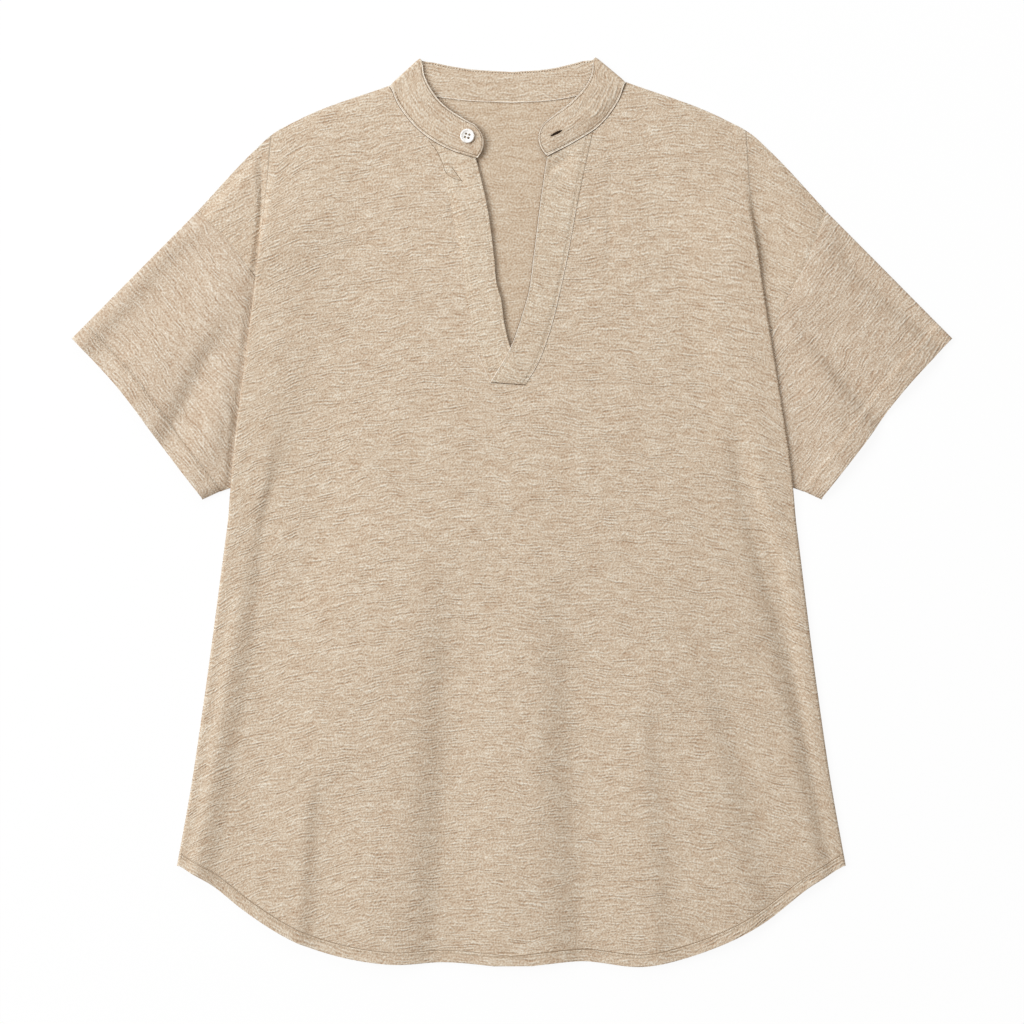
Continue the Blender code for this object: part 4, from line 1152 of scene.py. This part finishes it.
def opening_edges(trees, highlight_cloth, dark, foot_shadow_thread):
    """The left placket's rolled edges and a roll at the right one's end, in lighter cloth that paints
    their highlight, and dark lines of painted shadow below the left placket's inner edge, at its foot
    and in the creases beside the right placket.
    """
    on_strip = [trees["placket_left_cloth"]]
    inner = mirrored(LEFT, at_share(through(LEFT.placket_inner), np.linspace(0, 1, 80)))
    inner = inner[inner[:, 1] < EDGE_SEEN_BELOW_Y]
    edge = laid_on(inner + [EDGE_IN, 0], on_strip, EDGE_UP)
    under = [part[part[:, 1] > UNDER_SEEN_ABOVE_Y] - [EDGE_IN + UNDER_OUT, 0, UNDER_DOWN]
             for part in edge]
    front = [trees[name] for name in ("front_panel_cloth", "placket_right_cloth")]
    foot = np.linspace(LEFT.placket_inner[-1], LEFT.placket_outer[-1], 30) - [0, FOOT_OUT]
    folds = [part for line in PLACKET_FOLD_SHADES
             for part in laid_on(mirrored(RIGHT, through(line, 8)), front, FOLD_SHADE_UP)]
    outer = at_share(through(LEFT.placket_outer), np.linspace(OUTER_ROLL_FROM, 1, 60))
    outer = laid_on(outer - [OUTER_ROLL_IN, 0], on_strip, OUTER_ROLL_UP)
    end = laid_on(mirrored(RIGHT, through(PLACKET_END, 8)), front, OUTER_ROLL_UP)
    # the pale rolls paint highlights; the dark lines paint shadow and crease shade
    return [roll("placket_edge_roll", edge, 0.32, highlight_cloth),
            roll("placket_outer_roll", outer, 0.26, highlight_cloth),
            roll("placket_edge_painted_shadow", under, 0.26, dark),
            roll("placket_foot_painted_shadow", laid_on(foot, front), 0.24, foot_shadow_thread),
            roll("placket_fold_painted_shade", folds, 0.24, dark),
            roll("placket_end_roll", end, 0.26, highlight_cloth)]


def hem_line(side, depth):
    return mirrored(side, offset(through(side.hem), depth))


def hem_threads(tree, seam_and_shade_material, inner_material):
    """Thread along the hem's seam, dark enough to paint the shade of the groove it lies in, and,
    fainter, thread inside it.
    """
    seams, inners = ([(side, part) for side in (RIGHT, LEFT)
                      for part in laid_on(hem_line(side, depth), [tree], HEM_SEAM_RISE)]
                     for depth in (HEM_SEAM_DEPTH, HEM_INNER_DEPTH))
    return [roll("hem_seam_thread_and_shade", [part for _, part in seams],
                 [HEM_SEAM_RADII[side.sign] for side, _ in seams], seam_and_shade_material),
            roll("hem_inner_thread", [part for _, part in inners], 0.16, inner_material)]


# --- stitches and button ---

STITCH_RADIUS, BUTTON_STITCH, HOLE_STITCH, HOLE_BAR = 0.24, 0.3, 0.16, 0.18
STITCH_SIDES = 6
STITCH_PROUD, STITCH_PROUD_BELOW = 0.32, -0.12     # the underside rests on the surface
STITCH_STEP = 0.9        # the most that one climbs, so that none bridges an edge
CUFF_STITCHES = (0.02, 0.2)      # from the cuff's hem line to its edge
BUTTON_BASE = ON_PLACKET + BAND_WELT + TURNED_WALL / 2 + GAP
BUTTON_STEPS, BUTTON_ROUNDING, BUTTON_CORNER = 72, 0.12, 55
BUTTON_THREAD_UP = 0.25
HOLE_STITCH_PITCH, HOLE_STITCH_FROM, HOLE_STITCH_TO = 0.62, 0.1, 1.2
HOLE_STITCH_UP, HOLE_PROBE, HOLE_BAR_OUT = 0.1, 2, 0.4
# size of the dark sheet under the buttonhole that paints the shade inside it, in mm
HOLE_SHADE_SIZE = (12, 3.4, 0.1)
# Along a stitch: a share of its length, of its radius, and how many radii it lies down
STITCH_PROFILE = [(0, 0.45, 1), (0.2, 1, 0.1), (0.8, 1, 0.1), (1, 0.45, 1)]


def stitch_mesh(bm, start, end, radius=STITCH_RADIUS):
    """One stitch: a thread that dips into the cloth at both ends."""
    start, end = Vector(start), Vector(end)
    run = end - start
    aside = run.cross(Vector((0, 0, 1))).normalized()
    up = aside.cross(run).normalized()
    rings = []
    for along, size, sink in STITCH_PROFILE:
        middle = start + run * along - up * sink * radius * MM
        rings.append([bm.verts.new(middle + radius * MM * size
                                   * (aside * math.cos(a) + up * math.sin(a)))
                      for a in np.linspace(0, 2 * math.pi, STITCH_SIDES, endpoint=False)])
    for first, second in zip(rings, rings[1:]):
        for k in range(STITCH_SIDES):
            n = (k + 1) % STITCH_SIDES
            bm.faces.new((first[k], first[n], second[n], second[k]))
    bm.faces.new(rings[0][::-1])
    bm.faces.new(rings[-1])


def stitches(name, lines, tree, material, above=True, pitch=3.0, length=2.1):
    """Stitches along lines in the plane, laid on the surface that a ray meets."""
    bm = bmesh.new()
    down, proud = (-1, STITCH_PROUD) if above else (1, STITCH_PROUD_BELOW)
    sunk = Vector((0, 0, down)) * (proud - STITCH_RADIUS) * MM
    for line in lines:
        for at in np.arange(1.0, lengths(line)[-1] - length, pitch):
            ends = [met(tree, x, y, down) for x, y in at_length(line, [at, at + length])]
            if None not in ends and abs(ends[0].z - ends[1].z) < STITCH_STEP * MM:
                stitch_mesh(bm, *(end - sunk for end in ends))
    piece = finished(bm, name, material)
    smooth(piece.data)
    return piece


def cuff_stitch_lines(side):
    hem, cuff = cuff_lines(60)
    return [mirrored(side, hem + (cuff - hem) * share) for share in CUFF_STITCHES]


def button_hole(k):
    """The middle of one of the button's four holes."""
    angle = math.radians(BUTTON_TURN + 90 * k)
    reach = BUTTON_HOLE_REACH * math.sqrt(2)
    return BUTTON_X + reach * math.cos(angle), BUTTON_Y + reach * math.sin(angle)


def turned_button(material):
    bm = bmesh.new()
    corners = [bm.verts.new((r * MM, 0, z * MM)) for r, z in BUTTON_PROFILE]
    for a, b in zip(corners, corners[1:]):
        bm.edges.new((a, b))
    piece = finished(bm, "shirt_button", material)
    piece.location = to_metres((BUTTON_X, BUTTON_Y, BUTTON_BASE))
    screw = piece.modifiers.new("turned", "SCREW")
    screw.steps = screw.render_steps = BUTTON_STEPS
    screw.use_merge_vertices = True
    screw.merge_threshold = 0.00001
    cutters = []
    for k in range(4):
        bpy.ops.mesh.primitive_cylinder_add(vertices=28, radius=BUTTON_HOLE_RADIUS * MM,
                                            depth=8 * MM)
        cutters.append(bpy.context.object)
        cutters[k].location = to_metres((*button_hole(k), BUTTON_BASE))
        cut(piece, cutters[k])
    bpy.context.view_layer.update()
    piece = rounded(piece, BUTTON_ROUNDING, BUTTON_CORNER)
    for cutter in cutters:
        bpy.data.objects.remove(cutter)
    return piece


def button_thread(material):
    """Thread between the four holes, low in them, in two bars."""
    bm = bmesh.new()
    height = BUTTON_BASE + BUTTON_THREAD_UP
    for bar in ((0, 3), (1, 2)):
        ends = [to_metres((*button_hole(k), height)) for k in bar]
        stitch_mesh(bm, *ends, radius=BUTTON_STITCH)
    return finished(bm, "button_thread", material)


def buttonhole_stitches(tree, material):
    """Close stitches across both long edges of the buttonhole, and a bar at each end."""
    along = np.array([math.cos(math.radians(BUTTONHOLE_TILT)),
                      math.sin(math.radians(BUTTONHOLE_TILT))])
    out = np.array([-along[1], along[0]])
    middle = np.array([BUTTONHOLE_X, BUTTONHOLE_Y])
    lift = (met(tree, *(middle + out * HOLE_PROBE)).z - CAD_LOW.z) / MM + HOLE_STITCH_UP
    half = BUTTONHOLE_LENGTH / 2
    bm = bmesh.new()
    for at in np.arange(-half, half + 0.01, HOLE_STITCH_PITCH):
        for edge in (-1, 1):
            open_by = BUTTONHOLE_WIDTH / 2 * math.sqrt(max(1 - (at / half) ** 2, 0))
            ends = [middle + along * at + out * edge * (open_by + reach)
                    for reach in (HOLE_STITCH_FROM, HOLE_STITCH_TO)]
            stitch_mesh(bm, *(to_metres((*end, lift)) for end in ends), radius=HOLE_STITCH)
    for end in (-1, 1):
        place = middle + along * end * (half + HOLE_BAR_OUT)
        stitch_mesh(bm, *(to_metres((*(place + across), lift)) for across in (-out, out)),
                    radius=HOLE_BAR)
    return finished(bm, "buttonhole_stitches", material)


def buttonhole_shade_sheet(material):
    """A dark strip just under the band, which paints the shade seen through the buttonhole."""
    bpy.ops.mesh.primitive_cube_add(size=1)
    piece = bpy.context.object
    piece.name = "buttonhole_shade_sheet"
    piece.dimensions = [size * MM for size in HOLE_SHADE_SIZE]
    piece.location = to_metres((BUTTONHOLE_X, BUTTONHOLE_Y, ON_PLACKET - TURNED_WALL / 2))
    piece.rotation_euler = (0, 0, math.radians(BUTTONHOLE_TILT))
    piece.data.materials.append(material)
    return piece


# --- materials ---

def srgb(red, green, blue):
    """A colour given as it shows on a screen, from 0 to 255, as the shader takes it."""
    def linear(c):
        c /= 255
        return c / 12.92 if c <= 0.04045 else ((c + 0.055) / 1.055) ** 2.4
    return (*(linear(c) for c in (red, green, blue)), 1)


class Nodes:
    """The nodes of a material or a world, made in order from left to right."""

    def __init__(self, owner):
        self.owner = owner
        owner.use_nodes = True
        self.tree = owner.node_tree
        self.tree.nodes.clear()

    def add(self, kind, inputs=None, **settings):
        node = self.tree.nodes.new(kind)
        for key, value in settings.items():
            setattr(node, key, value)
        for key, value in (inputs or {}).items():
            if isinstance(value, bpy.types.NodeSocket):
                self.tree.links.new(value, node.inputs[key])
            else:
                node.inputs[key].default_value = value
        return node

    def maths(self, operation, first, second=0.0, third=0.0):
        return self.add("ShaderNodeMath", {0: first, 1: second, 2: third},
                        operation=operation).outputs[0]

    def total(self, *parts):
        """The sum of values, each times its share."""
        terms = [self.maths("MULTIPLY", value, share) for value, share in parts]
        return reduce(lambda first, second: self.maths("ADD", first, second), terms)

    def noise(self, place, scale, detail=2.0):
        """Noise about 0 on the knit, with the size of its waves in millimetres each way."""
        put = self.add("ShaderNodeMapping", {"Vector": place,
                                             "Scale": (1 / scale[0], 1 / scale[1], 1)})
        found = self.add("ShaderNodeTexNoise", {"Vector": put.outputs[0], "Scale": 1.0,
                                                "Detail": detail, "Roughness": 0.5},
                         noise_dimensions="2D")
        return self.maths("SUBTRACT", found.outputs[0], 0.5)

    def cloud(self, scale, detail, dark, light):
        """Noise in the piece's own space, as a value and as a colour between two."""
        place = self.add("ShaderNodeTexCoord").outputs["Object"]
        put = self.add("ShaderNodeMapping", {"Vector": place, "Scale": (scale, scale, scale)})
        value = self.add("ShaderNodeTexNoise", {"Vector": put.outputs[0], "Scale": 1.0,
                                                "Detail": detail}).outputs[0]
        ramp = self.add("ShaderNodeValToRGB", {"Fac": value})
        for stop, colour in zip(ramp.color_ramp.elements, (dark, light)):
            stop.color = srgb(*colour)
        return value, ramp.outputs[0]

    def finish(self, shader, kind="ShaderNodeOutputMaterial"):
        out = self.add(kind)
        self.tree.links.new(shader.outputs[0], out.inputs["Surface"])
        return self.owner


# The cloth's shades, and the sizes along and across the courses of what makes its tone, in mm
DARK, MIDDLE, LIGHT = (176, 146, 119), (206, 187, 164), (234, 225, 209)
SHADE_STOPS = (0.08, 0.92)
RIB_PATCH, RIB_SWAY, RIB_SWAYS_BY, RIB_PITCH = (14, 5), (34, 12), 3.8, 2.4
RIB_PATCH_FROM, RIB_PATCH_TO = -0.1, 0.16
HEATHER = (26, 5.5)
SPECK, SPECK_TURN = (1.45, 1.45), math.radians(40)
# With how far each bends the courses, in mm, and how much each slub is of the lines' tone
BENDS = [((46, 38), 12.0), ((15, 12), 2.2)]
SLUBS = [((12, 1.4), 0.55), ((5.5, 1.25), 0.36)]
RIB_SHARE, LINE_SHARE, SPECK_SHARE, HEATHER_SHARE, SPECK_RELIEF = 0.24, 0.66, 0.66, 0.3, 0.5
BUMP_STRENGTH, BUMP_DISTANCE = 0.65, 0.0011


def jersey(name, streak=1.0, grain=1.0, relief=1.0, tint=(0, 0, 0)):
    """Heathered slub jersey: fine ribs and slubs along its courses, with specks all over."""
    nodes = Nodes(bpy.data.materials.new(name))
    knit = nodes.add("ShaderNodeUVMap", uv_map="knit").outputs[0]
    shift = nodes.total(*((nodes.noise(knit, size), reach) for size, reach in BENDS))
    moved = nodes.add("ShaderNodeCombineXYZ", {"Y": shift}).outputs[0]
    bent = nodes.add("ShaderNodeVectorMath", {0: knit, 1: moved}, operation="ADD").outputs[0]
    across = nodes.add("ShaderNodeSeparateXYZ", {0: bent}).outputs[1]
    sway = nodes.maths("MULTIPLY", nodes.noise(bent, RIB_SWAY, 1.0), RIB_SWAYS_BY)
    ribs = nodes.maths("SINE", nodes.maths("MULTIPLY_ADD", across, math.tau / RIB_PITCH, sway))
    patch = nodes.add("ShaderNodeMapRange", {
        "Value": nodes.noise(bent, RIB_PATCH, 1.0), "From Min": RIB_PATCH_FROM,
        "From Max": RIB_PATCH_TO}).outputs[0]
    ribs = nodes.maths("MULTIPLY", ribs, patch)
    turned_knit = nodes.add("ShaderNodeVectorRotate", {"Vector": knit, "Angle": SPECK_TURN},
                            rotation_type="Z_AXIS").outputs[0]
    speck = nodes.noise(turned_knit, SPECK, 0.0)
    lines = nodes.total(*((nodes.noise(bent, size, 0.0), share * streak) for size, share in SLUBS),
                        (ribs, RIB_SHARE * streak))
    tone = nodes.total((lines, LINE_SHARE), (speck, SPECK_SHARE * grain),
                       (nodes.noise(bent, HEATHER), HEATHER_SHARE))
    ramp = nodes.add("ShaderNodeValToRGB", {"Fac": nodes.maths("ADD", tone, 0.5)})
    stops = ramp.color_ramp.elements
    stops[0].position, stops[1].position = SHADE_STOPS
    stops.new(0.5)
    for stop, shade in zip(stops, (DARK, MIDDLE, LIGHT)):
        stop.color = srgb(*(c + t for c, t in zip(shade, tint)))
    height = nodes.total((lines, 1.0), (speck, SPECK_RELIEF * grain))
    bump = nodes.add("ShaderNodeBump", {"Height": height, "Strength": BUMP_STRENGTH * relief,
                                        "Distance": BUMP_DISTANCE})
    return nodes.finish(nodes.add("ShaderNodeBsdfPrincipled", {
        "Base Color": ramp.outputs[0], "Normal": bump.outputs[0], "Roughness": 0.93,
        "Specular IOR Level": 0.15}))


def spun_thread(name, dark, light):
    """Spun thread, with its twist."""
    nodes = Nodes(bpy.data.materials.new(name))
    fuzz, colour = nodes.cloud(2400, 2.0, dark, light)
    bump = nodes.add("ShaderNodeBump", {"Height": fuzz, "Strength": 0.4, "Distance": 0.0002})
    return nodes.finish(nodes.add("ShaderNodeBsdfPrincipled", {
        "Base Color": colour, "Normal": bump.outputs[0], "Roughness": 0.8,
        "Specular IOR Level": 0.2}))


def resin():
    """Satin white resin with a faint cloud, for the button."""
    nodes = Nodes(bpy.data.materials.new("button_resin"))
    cloud, colour = nodes.cloud(260, 3.0, (236, 233, 228), (250, 248, 245))
    rough = nodes.add("ShaderNodeMapRange", {"Value": cloud, "To Min": 0.24, "To Max": 0.36})
    return nodes.finish(nodes.add("ShaderNodeBsdfPrincipled", {
        "Base Color": colour, "Roughness": rough.outputs[0], "IOR": 1.54,
        "Coat Weight": 0.25, "Coat Roughness": 0.2}))


# --- stage ---

LENS, SENSOR = 100, 36
VIEW_WIDTH = 819.2       # of the surface that the camera takes in
FLOOR_REACH, FLOOR_DROP = 6.0, 0.0003      # in metres
FLOOR_GREY = (0.93, 0.93, 0.93, 1)
FLOOR_WHITE = 0.93       # share of the floor's white that the camera sees without its shading
WHITE = (1, 1, 1, 1)
# Lamps: name, power, size and place, in metres
Lamp = namedtuple("Lamp", "name power size place")
LAMPS = [Lamp("key", 162.0, 2.6, (-2.94, 0.62, 3.34)), Lamp("top", 27.8, 1.6, (-0.3, 2.4, 1.9))]
WORLD_LIGHT = 0.356
LAMP_TINT, WORLD_TINT = (0.94, 0.97, 1.0), (1.0, 0.926, 0.843, 1.0)     # white where both fall


def white_to_camera(nodes):
    """1 for rays from the camera, a mirror or through glass, which see the white surround."""
    path = nodes.add("ShaderNodeLightPath")
    seen = nodes.maths("MAXIMUM", path.outputs["Is Camera Ray"], path.outputs["Is Glossy Ray"])
    return nodes.maths("MAXIMUM", seen, path.outputs["Is Transmission Ray"])


def pale_floor():
    nodes = Nodes(bpy.data.materials.new("pale_floor"))
    share = nodes.maths("MULTIPLY", white_to_camera(nodes), FLOOR_WHITE)
    matt = nodes.add("ShaderNodeBsdfDiffuse", {"Color": FLOOR_GREY})
    white = nodes.add("ShaderNodeEmission", {"Color": WHITE, "Strength": 1.0})
    return nodes.finish(nodes.add("ShaderNodeMixShader", {
        0: share, 1: matt.outputs[0], 2: white.outputs[0]}))


def stage():
    mesh = bpy.data.meshes.new("floor")
    corners = ((-1, -1), (1, -1), (1, 1), (-1, 1))
    mesh.from_pydata([(x * FLOOR_REACH, y * FLOOR_REACH, CAD_LOW.z - FLOOR_DROP)
                      for x, y in corners], [], [(0, 1, 2, 3)])
    new_object("floor", mesh, pale_floor())
    bpy.context.scene.world = bpy.data.worlds.new("studio")
    nodes = Nodes(bpy.context.scene.world)
    soft = nodes.add("ShaderNodeBackground", {"Color": WORLD_TINT, "Strength": WORLD_LIGHT})
    white = nodes.add("ShaderNodeBackground", {"Color": WHITE})
    nodes.finish(nodes.add("ShaderNodeMixShader", {
        0: white_to_camera(nodes), 1: soft.outputs[0], 2: white.outputs[0]}),
        "ShaderNodeOutputWorld")
    for name, power, size, place in LAMPS:
        light = bpy.data.lights.new(name, "AREA")
        light.energy, light.size, light.color = power, size, LAMP_TINT
        lamp = bpy.data.objects.new(name, light)
        lamp.location = place
        lamp.rotation_euler = (-Vector(place)).to_track_quat("-Z", "Y").to_euler()
        bpy.context.scene.collection.objects.link(lamp)


def camera():
    """Straight down, over the middle of the outline."""
    lens = bpy.data.cameras.new("camera")
    lens.lens, lens.sensor_width = LENS, SENSOR
    eye = bpy.data.objects.new("camera", lens)
    away = VIEW_WIDTH * LENS / SENSOR
    eye.location = to_metres((0, 0, away + ON_BACK))
    bpy.context.scene.collection.objects.link(eye)
    bpy.context.scene.camera = eye
    bpy.context.scene.view_settings.view_transform = "Standard"


# --- the top ---

def carry(piece, nodes):
    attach(piece, "root")
    if nodes:
        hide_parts(*nodes)
    return piece


def main():
    outside = jersey("slub_jersey")
    # a darker copy of the jersey for the sleeves, which paints shade on them
    shaded_sleeve_jersey = jersey("sleeve_jersey_painted_shade", relief=0.85, tint=(-3, -3, -2))
    # the inside face: its weaker slubs are its own, and its darker tint paints the shade where it is
    # seen inside the opening
    inside = jersey("jersey_inside", streak=0.55, grain=0.95, relief=0.8, tint=(-5, -6, -7))
    trim = jersey("jersey_trim", streak=0.85, grain=1.0, relief=0.9, tint=(-1, -1, -1))
    strip = jersey("jersey_placket", streak=1.0, grain=1.0, relief=0.95, tint=(2, 3, 3))
    # painted highlight: a much lighter copy of the jersey for the rolled edges, standing in for their
    # lit rims
    highlight_jersey = jersey("painted_highlight_jersey", streak=0.4, grain=0.6, relief=0.3, tint=(30, 38, 46))
    thread, dark_thread_and_shade, painted_shade_thread, hem_thread_and_shade, inner_thread, hole_shade_paint = (
        spun_thread(*row) for row in (
            ("sewing_thread", (170, 150, 126), (214, 198, 176)),
            # very dark thread for the band's stitches, also used for lines that paint shadow at the
            # tab's foot and shade in the band's seam crevices
            ("seam_thread_and_shade", (96, 74, 54), (128, 103, 80)),
            # thread-coloured lines that paint the shadows under the band's and the left placket's
            # free edges, in the creases beside the right placket, and in the neck seam's outer
            # crevice
            ("painted_shade_thread", (118, 96, 74), (150, 128, 104)),
            # the hem's seam thread, which also paints the shade of the groove it lies in
            ("hem_thread_and_shade", (132, 110, 88), (160, 139, 115)),
            ("hem_inner_thread", (160, 140, 116), (186, 167, 143)),
            # near-black cloth that paints the shade inside the buttonhole
            ("buttonhole_painted_shade", (48, 35, 26), (70, 53, 40))))

    names, sides = ("right", "left"), (RIGHT, LEFT)
    folds = [FoldedEdge(side) for side in sides]
    back = carry(back_panel(folds, inside), ["back_panel"])
    front = carry(front_panel(folds, outside), ["front_panel"])
    sleeves = [carry(sleeve(folded, f"sleeve_{name}_cloth", shaded_sleeve_jersey), [f"sleeve_{name}"])
               for folded, name in zip(folds, names)]
    over = [carry(placket(side, f"placket_{name}_cloth", strip), [f"placket_{name}"])
            for side, name in zip(sides, names)]
    band = carry(collar_band(trim), ["collar_band"])
    carry(turned_button(resin()), ["button"])

    trees = {piece.name: surface(piece) for piece in [front, back, band, *sleeves, *over]}
    hems = [hem_line(side, HEM_STITCH_DEPTH) for side in sides]
    front_thread = [stitches("front_hem_stitches", hems, trees[front.name], thread),
                    *hem_threads(trees[front.name], hem_thread_and_shade, inner_thread)]
    back_thread = [stitches("back_hem_stitches", hems, trees[back.name], thread, above=False)]
    sleeve_thread = []
    for piece, side in zip(sleeves, sides):
        tree, lines = trees[piece.name], cuff_stitch_lines(side)
        sleeve_thread.append([
            stitches(f"{piece.name}_stitches", lines, tree, thread),
            stitches(f"{piece.name}_under_stitches", lines, tree, thread, above=False)])
    over_thread = []
    for piece, side in zip(over, sides):
        outer, inner = placket_edges(side)
        lines = [mirrored(side, outer + (inner - outer) * at) for at in PLACKET_STITCHES]
        foot = np.array([lines[0][-1], lines[1][-1]]) + [0, STITCH_INSET]
        over_thread.append([stitches(f"{piece.name}_stitches", [*lines, foot],
                                     trees[piece.name], thread, **PLACKET_STITCH_SIZES)])
    sections = band_sections()
    to_back = FRONT_LINES + len(BAND_TURN_ANGLES) + 1
    back_edge = sections[to_back:-to_back, nearest(ACROSS_BAND, TOP_LINE), :2]
    on_front = [trees[piece.name] for piece in (front, *over)]
    band_thread = [stitches("band_stitches", [back_edge], trees[band.name], dark_thread_and_shade, pitch=2.2,
                            length=1.3),
                   buttonhole_stitches(trees[band.name], thread), buttonhole_shade_sheet(hole_shade_paint),
                   *band_rolls(sections, highlight_jersey),
                   *seam_threads(sections, on_front, trees[band.name], dark_thread_and_shade, painted_shade_thread)]
    over_thread[1] += opening_edges(trees, highlight_jersey, painted_shade_thread, dark_thread_and_shade)
    for folded, name, sewn in zip(folds, names, sleeve_thread):
        sewn.append(armhole_roll(folded, f"armhole_seam_{name}", trees[front.name], strip))
    for piece in [*front_thread, *back_thread, *sum(sleeve_thread, []), *sum(over_thread, []),
                  *band_thread, button_thread(thread)]:
        carry(piece, [])

    stage()
    camera()


main()
